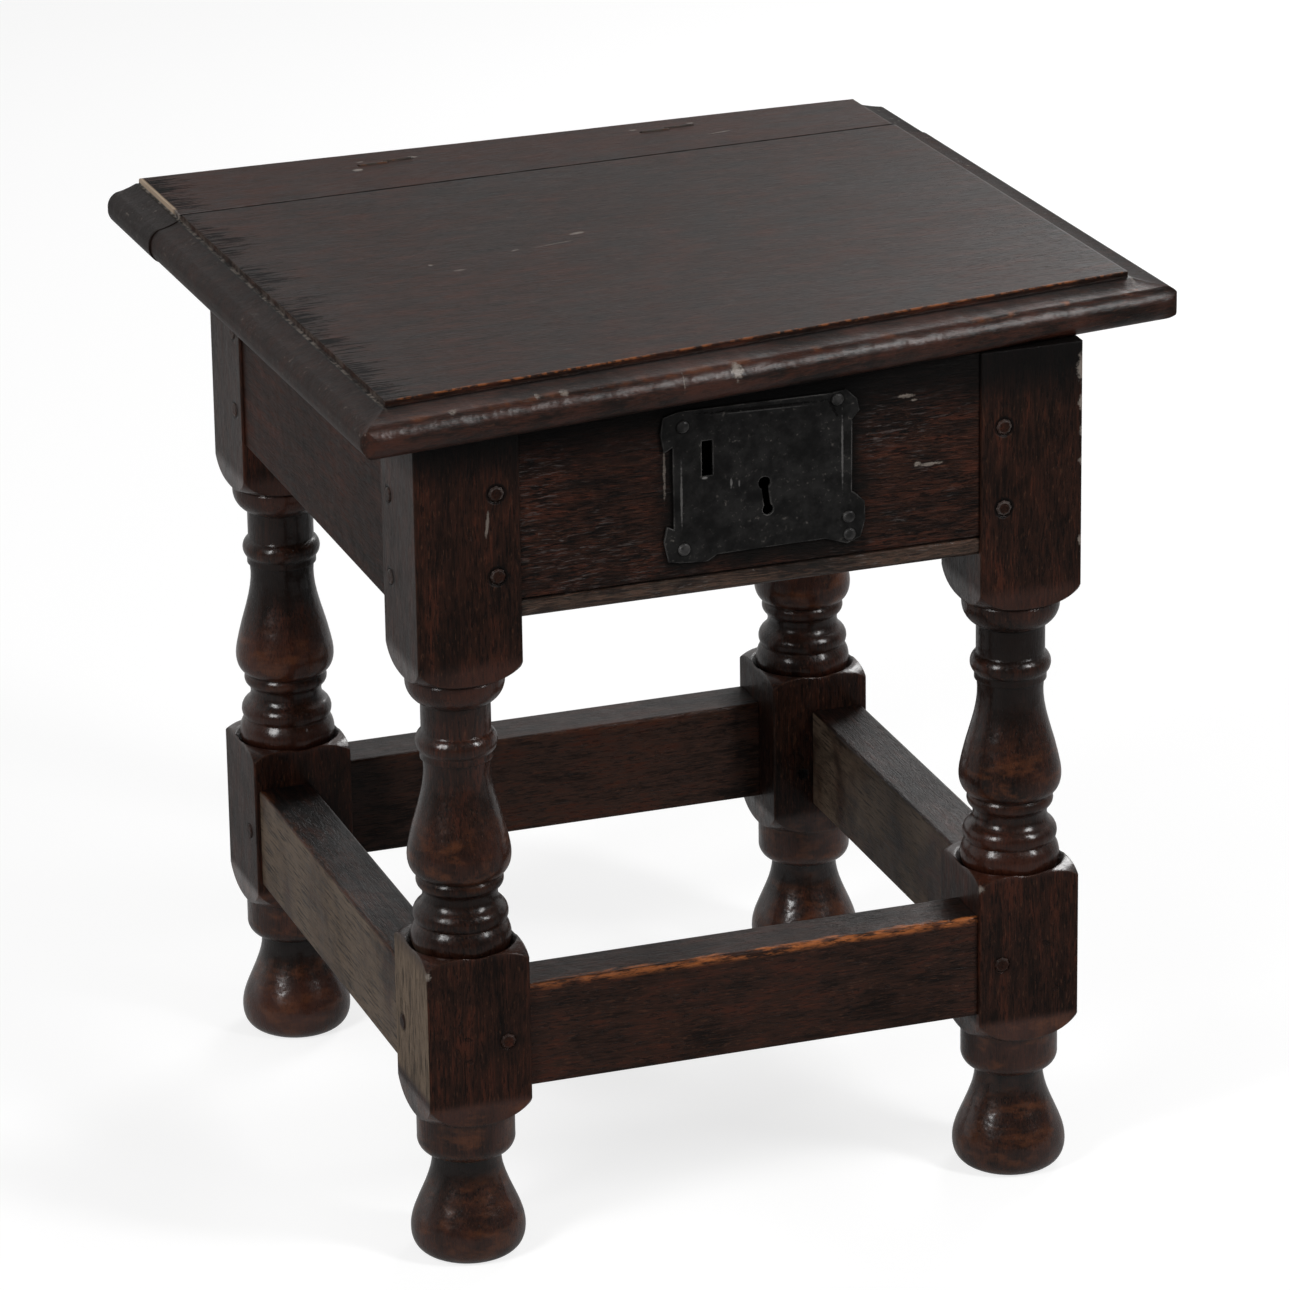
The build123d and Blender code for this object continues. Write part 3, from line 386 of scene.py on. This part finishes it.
def dark_dashes(oak):
    """Short open pores along the grain, as they show on bleached oak."""
    return oak.bench.fade(oak.bench.fibres(oak.along, 0.020, 0.0012), 0.52, 0.64, 0.0, 0.75)


def peg_gap_shade(oak):
    """Painted shade of the gap round each peg in the legs, with grime in it."""
    bench = oak.bench
    across, deep = bench.away(oak.x, FRAME_MIDDLE[0]), bench.away(oak.y, FRAME_MIDDLE[1])
    rings = []
    for side, facing, reach, levels in (
        (across, oak.facing[1], 0.152, (0.472, 0.423, 0.1395)),
        (deep, oak.facing[0], 0.155, (0.462, 0.413, 0.1395)),
    ):
        for level in levels:
            away = bench.vector("LENGTH", bench.join(bench.less(side, reach), 0, bench.less(oak.z, level)))
            rings.append(bench.times(bench.near(away, PEG_RING_RADIUS, 0.0014), bench.fade(facing, -0.5, -0.9)))
    return bench.largest(*rings)


def make_leg_oak():
    oak = Oak("leg_oak", ALONG_Z, pore=0.7, seed=0.4, grime_and_shade=0.3, dented=1.5)
    bench = oak.bench
    # Distance from the middle of the leg, the same for all four
    across = bench.less(bench.away(oak.x, FRAME_MIDDLE[0]), LEG_X)
    deep = bench.less(bench.away(oak.y, FRAME_MIDDLE[1]), LEG_Y)
    radius = bench.vector("LENGTH", bench.join(across, deep, 0))
    between = bench.times(
        bench.fade(oak.z, TURNING_FOOT, TURNING_FOOT + 0.006),
        bench.fade(oak.z, TURNING_TOP, TURNING_TOP - 0.010),
    )
    turned = bench.largest(between, bench.fade(oak.z, LOWER_BLOCK_FOOT, LOWER_BLOCK_FOOT - 0.006))
    foot = bench.fade(oak.z, LOWER_BLOCK_FOOT, LOWER_BLOCK_FOOT - 0.008)
    swell = bench.times(turned, bench.fade(radius, 0.0225, 0.0300), bench.fade(oak.patch, 0.36, 0.62))
    oak.stain(bench.times(swell, bench.line(foot, 0.25, 0.60)), RED)
    figure = bench.noise(bench.turn(oak.place, scale=(0.016, 0.016, 0.0075)), 1.0, 4.0, 0.6)
    vase = bench.times(
        bench.fade(radius, 0.0225, 0.0285),
        bench.fade(oak.z, VASE_FOOT, VASE_FOOT + 0.006),
        bench.fade(oak.z, VASE_TOP, VASE_TOP - 0.010),
    )
    glow = bench.times(turned, bench.largest(vase, foot), bench.fade(figure, 0.44, 0.70))
    oak.stain(bench.times(glow, 0.60), GLOW)
    oak.stain(bench.times(turned, bench.fade(radius, 0.0235, 0.0205), bench.fade(oak.patch, 0.7, 0.4)), DARK)
    oak.roughen(turned, -0.10)
    waxed = bench.times(bench.line(turned, 0.75, 0.25), oak.patchy(0.45, 0.75))
    oak.polish = bench.times(waxed, bench.line(foot, 0.5, 1.0))
    # Dust and wear on the outer left face of the front left leg, low down
    low_left = bench.times(
        bench.fade(oak.facing[0], -0.75, -0.97),
        bench.fade(oak.x, -0.195, -0.200),
        bench.fade(oak.z, 0.200, 0.180),
        bench.fade(oak.z, 0.105, 0.112),
        bench.fade(oak.y, 0.0, -0.1),
    )
    oak.stain(bench.times(low_left, oak.toned(0.1, 0.7, 0.55, 0.95)), LEG_DUST, rough=0.2)
    oak.stain(bench.times(low_left, dark_dashes(oak)), SOOT_AND_SHADE)
    oak.polish = bench.times(oak.polish, bench.rest(low_left))
    # Painted shadow under the overhang of the lid
    oak.shadow_under_lid()
    # Painted shade of the gaps round the pegs, stronger on the upper pegs
    oak.stain(bench.times(peg_gap_shade(oak), bench.fade(oak.z, 0.2, 0.3, 0.35, 0.8)), SOOT_AND_SHADE, lift=-0.8)
    # Chips down the front right arris, a scratch and bright worn corners
    chips = [
        ((x, LEG_FRONT_FACE, z), (wide, wide, high), (0, 0, 0), strength)
        for x, z, wide, high, strength in (
            (RIGHT_ARRIS, 0.5020, 0.0040, 0.010, 0.9),
            (RIGHT_ARRIS, 0.4810, 0.0030, 0.006, 0.9),
            (RIGHT_ARRIS, 0.4640, 0.0025, 0.004, 0.8),
            (RIGHT_ARRIS, 0.4459, 0.0025, 0.003, 0.8),
            (RIGHT_ARRIS, 0.3972, 0.0030, 0.004, 0.8),
            (-0.2045, 0.1865, 0.0035, 0.003, 1.0),
            (0.1341, 0.1890, 0.0030, 0.003, 1.0),
        )
    ]
    chips += on_front(LEG_FRONT_FACE, 0.002, [(-0.1614, 0.4550, 0.0012, 0.009, 6, 0.7)])
    oak.stain(marks(bench, oak.place, chips), PALE, rough=-0.15, lift=-1.2)
    dented = on_front(LEG_FRONT_FACE, 0.003, [
        (-0.1845, 0.1520, 0.0016, 0.0042, 10, 1.0),
        (-0.1800, 0.1440, 0.0034, 0.0014, 20, 1.0),
        (-0.1860, 0.1360, 0.0014, 0.0036, -15, 1.0),
        (-0.1790, 0.1300, 0.0022, 0.0018, 0, 1.0),
        (0.1760, 0.1490, 0.0030, 0.0020, 30, 1.0),
        (0.1820, 0.1200, 0.0016, 0.0030, 0, 1.0),
        (-0.1720, 0.4500, 0.0018, 0.0040, -8, 0.8),
    ])
    oak.stain(bench.times(marks(bench, oak.place, dented), 0.45), DARK, rough=-0.1, lift=-5.0)
    # The hole beside the peg on the inner face of the back right leg, painted black as the shade inside it
    hole = on_front(0.1597, 0.003, [(0.1535, 0.1300, 0.0042, 0.0042, 0, 1.0)])
    oak.stain(marks(bench, oak.place, hole), SOOT_AND_SHADE, lift=-3.0)
    oak.dry_inside()
    return oak.finish(gloss=0.10, relief=0.0006)


def make_front_rail_oak():
    oak = Oak("front_rail_oak", ALONG_X, figure=1.3, pore=0.9, rub=0.3, roughness=0.5, seed=1.7,
              brown=(0.025, 0.0090, 0.0052), red=(0.058, 0.0160, 0.0080))
    bench = oak.bench
    riven = bench.fibres(oak.along, 0.0085, 0.0011, bend=0.4)
    torn = bench.fade(bench.noise(oak.place, 24.0, 3.0, 0.6), 0.40, 0.58)
    oak.stain(bench.times(bench.fade(riven, 0.44, 0.36), torn), SOOT_AND_SHADE)
    # Painted sheen: short bluish-grey streaks of reflection along the riven grain
    lit = bench.times(bench.fade(riven, 0.57, 0.64), torn, bench.fade(oak.patch, 0.35, 0.6, 0.3, 0.7))
    oak.stain(lit, PAINTED_SHEEN)
    oak.height = bench.line(riven, 2.4, oak.height)
    # Black grime round the lock plate
    wide = bench.less(bench.away(oak.x, PLATE_MIDDLE[0]), PLATE_HALF[0])
    high = bench.less(bench.away(oak.z, PLATE_MIDDLE[1]), PLATE_HALF[1])
    reach = bench.line(bench.noise(oak.place, 60.0, 4.0, 0.6), -0.016, bench.largest(wide, high))
    grime_and_shade = bench.times(bench.fade(reach, 0.015, -0.003, 0.0, 0.95), bench.fade(oak.y, 0.0, -0.1))
    oak.stain(grime_and_shade, PLATE_SOOT, rough=0.2)
    # Painted shadow under the overhang of the lid
    oak.shadow_under_lid()
    bead = bench.times(bench.fade(oak.z, BEAD_TOP, BEAD_TOP - 0.0020), bench.fade(oak.facing[1], 0.2, -0.2))
    oak.stain(bench.times(bead, oak.toned(0.2, 0.9, 0.05, 0.35)), DUSTY)
    oak.polish = bench.line(bead, 0.45, 0.12)
    spots = on_front(RAIL_FRONT_FACE, 0.003, [
        (0.1036, 0.4550, 0.0085, 0.0013, 0, 0.9),
        (0.0960, 0.4562, 0.0030, 0.0022, 0, 0.9),
        (0.0885, 0.4975, 0.0060, 0.0015, 0, 0.8),
        (0.0940, 0.4945, 0.0030, 0.0010, 0, 0.8),
        (-0.0560, 0.4700, 0.0010, 0.0200, 0, 0.6),
    ])
    oak.stain(marks(bench, oak.place, spots), PALE, lift=-0.6)
    oak.dry_inside()
    return oak.finish(gloss=0.10, relief=0.0008)


def make_side_rail_oak():
    oak = Oak("side_rail_oak", ALONG_Y, roughness=0.5, seed=2.3)
    oak.dry_inside()
    return oak.finish(gloss=0.11, relief=0.0005)


def make_stretcher_oak(name, grain, worn, tan, seed, top_dark=0.5, brown=BROWN):
    """worn is (axis, place of the outer face, strength of the worn lip), or None.
    tan is (axis, way) of the face that is bleached, or None."""
    oak = Oak(name, grain, seed=seed, brown=brown)
    bench = oak.bench
    # The top faces are darker, in patches that follow the tone of the wood
    upper = bench.fade(oak.facing[2], 0.8, 0.95)
    oak.stain(bench.times(upper, oak.toned(0.2, 0.9, top_dark, top_dark * 0.5)), SOOT_AND_SHADE, rough=0.12)
    if worn:
        axis, face, strength = worn
        into = bench.away((oak.x, oak.y)[axis], face)
        ragged = bench.line(bench.fibres(oak.along, 0.030, 0.005, 6.0, 0.75), 0.034, -0.0145)
        lip = bench.times(
            bench.fade(bench.less(into, ragged), 0.0012, -0.0012),
            bench.fade(oak.z, STRETCHER_TOP - 0.0055, STRETCHER_TOP - 0.0020),
        )
        flecks = bench.fade(bench.fibres(oak.along, 0.012, 0.0025, 4.0, 0.7), 0.36, 0.62)
        # Along a front or back stretcher, the wear grows towards the middle and the right
        shown = bench.fade(oak.x, -0.16, 0.0, strength * 0.45, strength) if axis else strength
        oak.stain(bench.times(lip, bench.times(flecks, shown)), ORANGE)
    if tan:
        axis, way = tan
        side = bench.times(oak.facing[axis], way)
        bleached = bench.fade(bench.noise(oak.place, 16.0, 4.0, 0.6), 0.3, 0.55)
        bare = bench.times(bench.fade(side, 0.7, 0.95), bleached)
        oak.stain(bench.times(bare, oak.toned(0.0, 0.6, 0.45, 0.95)), DUSTY, rough=0.2)
        oak.stain(bench.times(bare, dark_dashes(oak)), SOOT_AND_SHADE)
    oak.polish = oak.patchy(0.04, 0.16)
    return oak.finish(gloss=0.15, relief=0.0005)


def lid_scars():
    """Pale knocks on the lid: first on its top, then on its front nose, then at its left corner."""
    return on_lid([
        (-0.0327, 0.0321, 0.0060, 0.0020, 12, 0.8),
        (-0.0505, 0.0180, 0.0160, 0.0008, 10, 0.5),
        (-0.0766, 0.0150, 0.0030, 0.0012, 20, 0.6),
        (-0.1305, 0.0065, 0.0016, 0.0016, 0, 0.9),
        (-0.1179, -0.0087, 0.0045, 0.0018, 0, 0.45),
        (-0.1142, 0.2001, 0.0040, 0.0030, 0, 1.0),
        (-0.1082, 0.2153, 0.0030, 0.0012, 0, 0.8),
        (-0.0760, 0.2131, 0.0035, 0.0020, 0, 1.0),
        (0.0662, 0.2150, 0.0030, 0.0015, 0, 0.7),
        (0.1034, 0.2156, 0.0030, 0.0015, 0, 0.8),
        (0.1138, 0.1908, 0.0090, 0.0008, 8, 0.8),
    ]) + [
        ((-0.0210, -0.2050, 0.5330), (0.0048, 0.006, 0.0060), (0, 0, 0), 1.0),
        ((-0.1921, -0.2268, 0.5390), (0.0045, 0.006, 0.0025), (0, 0, 0), 0.7),
        ((-0.1409, -0.2203, 0.5396), (0.0032, 0.006, 0.0030), (0, 0, 0), 0.9),
        ((-0.1252, -0.2183, 0.5387), (0.0040, 0.006, 0.0025), (0, 0, 0), 0.8),
        ((0.0628, -0.1944, 0.5400), (0.0020, 0.006, 0.0020), (0, 0, 0), 0.8),
        ((-0.0537, -0.2092, 0.5319), (0.0007, 0.006, 0.0060), (0, 0, 0), 0.5),
        ((-0.2470, -0.2338, 0.5346), (0.0020, 0.0020, 0.0025), (0, 0, 0), 1.0),
    ]


def make_lid_oak():
    oak = Oak("lid_oak", (0, 0, LID_YAW), figure=1.0, pore=0.45, rub=0.35, roughness=0.44, seed=5.3,
              grime_and_shade=0.6, dented=0.8)
    bench = oak.bench
    own = bench.turn(oak.place, (*FRAME_MIDDLE, 0), (0, 0, LID_YAW))
    lid_x, lid_y, lid_z = bench.split(own)
    # Distance outside the step of the moulding, on each side
    front = bench.less(bench.line(lid_x, 0.0998, bench.times(lid_y, -1)), 0.2038)
    left = bench.less(bench.times(lid_x, -1), 0.2302)
    right = bench.less(bench.line(lid_y, 0.0279, lid_x), 0.2296)
    out = bench.largest(front, left, right)
    on_top = bench.fade(lid_z, LID_TOP - 0.0013, LID_TOP - 0.0002)
    moulding = bench.fade(out, 0.0, 0.001)
    behind_joint = bench.fade(lid_y, BOARD_JOINT - 0.0005, BOARD_JOINT + 0.0005)
    # Broken patterns that the thin lines of wear below are cut up with
    dots = bench.noise(oak.place, 260.0, 3.0, 0.6)
    along_dots = bench.noise(oak.place, 55.0, 3.0, 0.6)

    # The end grain of the mouldings is duller than the rest, and black with pale specks on the rear board
    mitre = bench.fade(bench.less(front, bench.largest(left, right)), 0.007, -0.007)
    left_end = bench.times(bench.fade(left, 0.0005, 0.0025), mitre)
    right_end = bench.times(bench.fade(right, 0.0005, 0.0025), mitre)
    ends = bench.largest(left_end, right_end)
    rear_end = bench.times(ends, behind_joint)
    oak.stain(bench.line(rear_end, 0.45, bench.times(ends, 0.4)), DARK)
    oak.roughen(left_end, 0.10)
    oak.roughen(right_end, 0.36)
    specks = bench.fade(bench.noise(oak.place, 330.0, 3.0, 0.6), 0.62, 0.72)
    oak.stain(bench.times(ends, specks, bench.fade(oak.patch, 0.40, 0.6, 0.1, 0.6)), PALE)

    # The front moulding is rubbed redder and shinier than the top
    oak.stain(bench.times(moulding, bench.rest(ends), oak.toned(0.2, 0.9, 0.0, 0.7)), RED)
    oak.roughen(moulding, -0.06)
    polished = bench.times(moulding, bench.rest(right_end), bench.line(ends, -0.75, 1.0))
    oak.polish = bench.times(polished, oak.patchy(0.30, 0.60))
    oak.rough = bench.swing(oak.patch, 0.20, oak.rough)

    # The rear board is browner and a little duller than the main one
    rear = bench.times(behind_joint, bench.fade(out, 0.001, 0.0))
    oak.stain(bench.times(rear, oak.toned(0.1, 0.8, 0.1, 0.5)), RED, rough=0.06)

    # The front step and the front arris are worn through to bright wood, with painted shade in the groove between
    # them
    step = bench.times(bench.near(front, -0.0004, 0.0017), on_top)
    step = bench.times(step, bench.fade(dots, 0.42, 0.55), bench.fade(along_dots, 0.38, 0.52))
    oak.stain(bench.times(step, 0.65), ORANGE)
    groove = bench.times(bench.near(out, 0.0016, 0.0022), bench.fade(lid_z, 0.5432, 0.5424))
    oak.stain(bench.times(groove, 0.85), SOOT_AND_SHADE)
    arris = bench.times(bench.near(front, 0.0145, 0.0035), bench.fade(lid_z, 0.5350, 0.5365))
    arris = bench.times(arris, bench.fade(along_dots, 0.50, 0.64))
    oak.stain(bench.times(arris, bench.fade(lid_x, 0.10, 0.19, 0.16, 0.55)), ORANGE)

    # Broken pale lines along the foot of the step at the two ends: chipped wear with a painted highlight on the
    # step's edge
    chips_and_glint = bench.largest(bench.near(left, 0.0012, 0.0016), bench.times(bench.near(right, 0.0012, 0.0014), 0.7))
    chips_and_glint = bench.times(chips_and_glint, bench.fade(lid_z, 0.5395, 0.5410), bench.fade(lid_y, -0.235, -0.225))
    chips_and_glint = bench.times(chips_and_glint, bench.fade(dots, 0.44, 0.56), bench.fade(along_dots, 0.40, 0.55, 0.25, 0.9))
    oak.stain(chips_and_glint, PALE)

    # Grime drawn out along the grain from the step of the left end
    strokes = bench.fibres(own, 0.022, 0.0014, 3.0, 0.65)
    inward = bench.fade(left, -0.040, 0.0)
    clusters = bench.line(bench.noise(oak.place, 30.0, 2.0, 0.5), 0.5, -0.25)
    drawn = bench.math("ADD", bench.math("ADD", strokes, clusters), bench.times(inward, 0.24))
    drawn = bench.times(bench.fade(drawn, 0.70, 0.82), on_top, bench.fade(left, 0.0005, -0.0005))
    oak.stain(bench.times(drawn, bench.fade(inward, 0.02, 0.2)), SOOT_AND_SHADE, rough=0.3, lift=-1.5)

    # Pale bare wood on the riser of the rear board's step
    bare = bench.times(bench.near(left, 0.0008, 0.0022), bench.fade(lid_y, 0.150, 0.156))
    oak.stain(bench.times(bare, bench.fade(lid_z, 0.5420, 0.5430), 0.9), BARE, rough=0.3)

    # The joint between the boards, and a painted highlight on the lip behind it at the left
    joint = bench.times(bench.near(lid_y, BOARD_JOINT, 0.0017), on_top)
    oak.stain(bench.times(joint, bench.fade(along_dots, 0.35, 0.6, 0.6, 1.0)), SOOT_AND_SHADE, rough=0.3, lift=-2.0)
    lit_joint = bench.times(bench.near(lid_y, BOARD_JOINT + 0.0022, 0.0010), on_top)
    lit_joint = bench.times(lit_joint, bench.fade(lid_x, -0.12, -0.20), bench.fade(dots, 0.40, 0.55))
    oak.stain(bench.times(lit_joint, 0.6), PAINTED_SHEEN)

    oak.stain(marks(bench, oak.place, lid_scars()), PALE, rough=-0.2, lift=-1.5)
    oak.dry(bench.times(bench.fade(lid_z, LID_FOOT + 0.0012, LID_FOOT + 0.0004), bench.fade(out, 0.012, 0.002)))
    return oak.finish(gloss=0.11, relief=0.00028, coat_roughness=0.36, wax_relief=0.0020)


def make_inner_oak():
    oak = Oak("inner_oak", ALONG_X, dark=(0.06, 0.036, 0.021), brown=(0.14, 0.09, 0.055), red=(0.18, 0.115, 0.07),
              roughness=0.75, seed=6.1, edge=(0.22, 0.16, 0.11))
    return oak.finish(gloss=0.08)


def make_peg_oak():
    oak = Oak("peg_oak", ALONG_Y, figure=0.5, rub=0.5, roughness=0.42, seed=7.7, edge=(0.15, 0.13, 0.12), grime_and_shade=0.3)
    # The rims of the upper pegs are painted pale: rubbed wear with a painted highlight where the rim catches the
    # light
    oak.stain(oak.bench.times(oak.wear_and_shade["Rubbed"], oak.bench.fade(oak.z, 0.20, 0.30, 0.0, 0.9)), PEG_RIM_GLINT_AND_WEAR)
    return oak.finish(gloss=0.12)


def make_iron(name, dark, pale, bright, roughness, gloss, rust=0.0, shaded_creases=(), nicks_and_glints=()):
    """Old wrought iron, blackened and slightly pitted."""
    material = bpy.data.materials.new(name)
    material.use_nodes = True
    tree = material.node_tree
    bench = Bench(tree)
    shader = tree.nodes["Principled BSDF"]
    place = bench.node("ShaderNodeTexCoord").outputs["Object"]
    cloud = bench.noise(place, 95.0, 5.0, 0.65)
    pits = bench.noise(place, 420.0, 3.0, 0.6)
    hammer = bench.noise(place, 80.0, 3.0, 0.5)
    wear_and_shade = bench.group(EDGE_WEAR_AND_SHADE, Vector=place, Width=0.0014)
    color = bench.mix(bench.fade(cloud, 0.35, 0.70), dark, pale)
    specks = bench.times(bench.fade(pits, 0.60, 0.72), bench.fade(cloud, 0.40, 0.62))
    color = bench.mix(bench.times(specks, 0.6), color, IRON_SPECK)
    if rust:
        rusty = bench.fade(bench.noise(place, 160.0, 4.0, 0.6), 0.45, 0.7, 0.0, rust)
        color = bench.mix(rusty, color, RUST)
    color = bench.mix(bench.times(wear_and_shade["Rubbed"], 0.8), color, bright)
    height = bench.line(pits, 0.4, bench.times(hammer, 1.6))
    # Creases painted dark as shade, and nicks painted pale, partly as painted highlights
    if shaded_creases:
        crease_shade = marks(bench, place, shaded_creases)
        color = bench.mix(crease_shade, color, SOOT_AND_SHADE)
        height = bench.line(crease_shade, -4.0, height)
    if nicks_and_glints:
        color = bench.mix(marks(bench, place, nicks_and_glints), color, IRON_NICK_AND_GLINT)
    bench.feed(shader.inputs["Base Color"], color)
    bench.feed(shader.inputs["Roughness"], bench.line(cloud, 0.3, roughness - 0.15))
    bench.feed(shader.inputs["Normal"], bench.bump(height, wear_and_shade["Soft"], 0.0005))
    shader.inputs["Specular IOR Level"].default_value = gloss
    return material


def make_plate_iron():
    # Dark crease lines painted as shade; pale nicks, and painted highlights along the plate's edges and under the
    # upper crease
    shaded_creases = on_front(PLATE_FACE, 0.004, [
        (0.0030, 0.5025, 0.0400, 0.0011, 1.5, 0.9),
        (0.0445, 0.4965, 0.0012, 0.0070, -25, 0.8),
    ])
    nicks_and_glints = on_front(PLATE_FACE, 0.004, [
        (-0.0330, 0.4650, 0.0022, 0.0010, 0, 0.9),
        (-0.0168, 0.4600, 0.0008, 0.0035, 0, 0.6),
        (-0.0120, 0.4590, 0.0007, 0.0025, 0, 0.5),
        (0.0030, 0.5008, 0.0330, 0.0004, 1.5, 0.25),
        (-0.0465, 0.4560, 0.0008, 0.0200, 0, 0.5),
        (0.0500, 0.4700, 0.0008, 0.0260, 0, 0.5),
    ])
    dark, pale, bright = (0.0050, 0.0049, 0.0048), (0.0150, 0.0145, 0.0140), (0.13, 0.125, 0.12)
    return make_iron("plate_iron", dark, pale, bright, 0.42, 0.13, shaded_creases=shaded_creases, nicks_and_glints=nicks_and_glints)


def make_nail_iron():
    dark, pale, bright = (0.006, 0.0058, 0.0056), (0.045, 0.043, 0.042), (0.34, 0.33, 0.32)
    return make_iron("nail_iron", dark, pale, bright, 0.36, 0.3)


def make_wire_iron():
    dark, pale, bright = (0.02, 0.015, 0.012), (0.05, 0.038, 0.03), (0.16, 0.15, 0.14)
    return make_iron("wire_iron", dark, pale, bright, 0.6, 0.2, rust=0.7)


front_rail_oak = make_front_rail_oak()
peg_oak = make_peg_oak()

# The finish of each node, by the first fitting start of its name
FINISHES = {
    "leg": make_leg_oak(),
    "rail_pegs": peg_oak,
    "stretcher_pegs": peg_oak,
    "lid_joint_pegs": peg_oak,
    "rail_front": front_rail_oak,
    "rail_back": front_rail_oak,
    "rail": make_side_rail_oak(),
    "stretcher_front": make_stretcher_oak(
        "front_stretcher_oak", ALONG_X, (1, -0.1813, 1.0), None, 3.1, top_dark=0.35, brown=(0.026, 0.0108, 0.0068)
    ),
    "stretcher_back": make_stretcher_oak(
        "back_stretcher_oak", ALONG_X, (1, 0.1857, 0.06), None, 3.9, brown=(0.034, 0.0165, 0.0115)
    ),
    "stretcher_left": make_stretcher_oak(
        "left_stretcher_oak", ALONG_Y, (0, -0.2009, 0.10), (0, -1), 4.9, top_dark=0.9
    ),
    "stretcher_right": make_stretcher_oak("right_stretcher_oak", ALONG_Y, None, (0, -1), 4.3),
    "lid": make_lid_oak(),
    "bottom": make_inner_oak(),
    "hinge": make_wire_iron(),
    "lock_plate_nails": make_nail_iron(),
    "lock": make_plate_iron(),
}
for node, piece in NODES.items():
    finish = next(FINISHES[start] for start in FINISHES if node.startswith(start))
    piece.data.materials.clear()
    piece.data.materials.append(finish)


def set_camera():
    """A long lens from the front left, looking down 21 degrees."""
    turn, drop, roll = radians(17.566), radians(21.010), radians(-1.424)
    ahead = Vector((sin(turn) * cos(drop), cos(turn) * cos(drop), -sin(drop)))
    level = Vector((cos(turn), -sin(turn), 0))
    above = level.cross(ahead)
    right = level * cos(roll) + above * sin(roll)
    up = above * cos(roll) - level * sin(roll)
    data = bpy.data.cameras.new("camera")
    data.lens = 201.73
    data.shift_x, data.shift_y = 0.14413, 0.01409
    data.clip_end = 60
    camera = bpy.data.objects.new("camera", data)
    axes = Matrix((right, up, -ahead)).transposed().to_4x4()
    camera.matrix_world = Matrix.Translation((-1.31963, -3.78461, 1.82500)) @ axes
    bpy.context.scene.collection.objects.link(camera)
    bpy.context.scene.camera = camera


def softbox(name, place, aim, width, height, power):
    data = bpy.data.lights.new(name, "AREA")
    data.shape = "RECTANGLE"
    data.size, data.size_y, data.energy = width, height, power
    lamp = bpy.data.objects.new(name, data)
    facing = (Vector(aim) - Vector(place)).to_track_quat("-Z", "Y").to_matrix().to_4x4()
    lamp.matrix_world = Matrix.Translation(place) @ facing
    bpy.context.scene.collection.objects.link(lamp)


def set_world():
    world = bpy.data.worlds.new("studio")
    bpy.context.scene.world = world
    world.use_nodes = True
    bench = Bench(world.node_tree)
    back = world.node_tree.nodes["Background"]
    bench.feed(back.inputs["Color"], (1, 1, 1, 1))
    ray = bench.node("ShaderNodeLightPath").outputs
    # The room is white behind the stool and dim on the side of the camera, as its polish shows
    ahead = bench.split(bench.node("ShaderNodeTexCoord").outputs["Generated"])[1]
    mirrored = bench.largest(ray["Is Glossy Ray"], ray["Is Transmission Ray"])
    sheen = bench.times(mirrored, bench.fade(ahead, -0.2, 0.7, 0.08, 0.62))
    fill = bench.times(bench.rest(mirrored), 0.25)
    bench.feed(back.inputs["Strength"], bench.largest(ray["Is Camera Ray"], sheen, fill))


def lay_floor():
    """A pale seamless floor: nearly white where it is seen, with the stool's soft shadow on it."""
    bpy.ops.object.select_all(action="DESELECT")
    bpy.ops.mesh.primitive_plane_add(size=24, location=(0, 0, -0.0002))
    floor = bpy.context.object
    floor.name = "floor"
    bpy.ops.object.transform_apply(location=True)
    material = bpy.data.materials.new("floor_paper")
    material.use_nodes = True
    tree = material.node_tree
    bench = Bench(tree)
    tree.nodes.remove(tree.nodes["Principled BSDF"])
    ray = bench.node("ShaderNodeLightPath").outputs
    paper = bench.fed("ShaderNodeBsdfDiffuse", ((0.50, 0.50, 0.50, 1),))[0]
    # What is seen of it, straight or in the polish, is part glow and part paper that takes the shadow
    along = bench.split(bench.node("ShaderNodeTexCoord").outputs["Object"])[1]
    strength = bench.largest(bench.fade(along, -1.0, 1.5, 0.07, 0.24), bench.times(ray["Is Camera Ray"], 0.74))
    tint = bench.largest(bench.fade(along, -1.0, 1.5, 0.17, 0.30), bench.times(ray["Is Camera Ray"], 0.34))
    glow = bench.fed("ShaderNodeEmission", (None, strength))[0]
    pale = bench.fed("ShaderNodeBsdfDiffuse", (bench.join(tint, tint, tint),))[0]
    lit = bench.fed("ShaderNodeAddShader", (pale, glow))[0]
    seen = bench.largest(ray["Is Camera Ray"], ray["Is Glossy Ray"], ray["Is Transmission Ray"])
    either = bench.fed("ShaderNodeMixShader", (seen, paper, lit))[0]
    bench.feed(tree.nodes["Material Output"].inputs["Surface"], either)
    floor.data.materials.append(material)


set_camera()
set_world()
lay_floor()
softbox("window_left", (-1.80, -1.00, 1.50), (0, 0, 0.35), 0.45, 1.0, 28)
softbox("window_right", (1.35, -1.50, 1.60), (0, 0, 0.35), 0.35, 0.9, 28)
softbox("window_back", (1.75, 1.9, 1.6), (0, 0, 0.4), 1.0, 0.8, 29)
bpy.context.scene.view_settings.view_transform = "Standard"
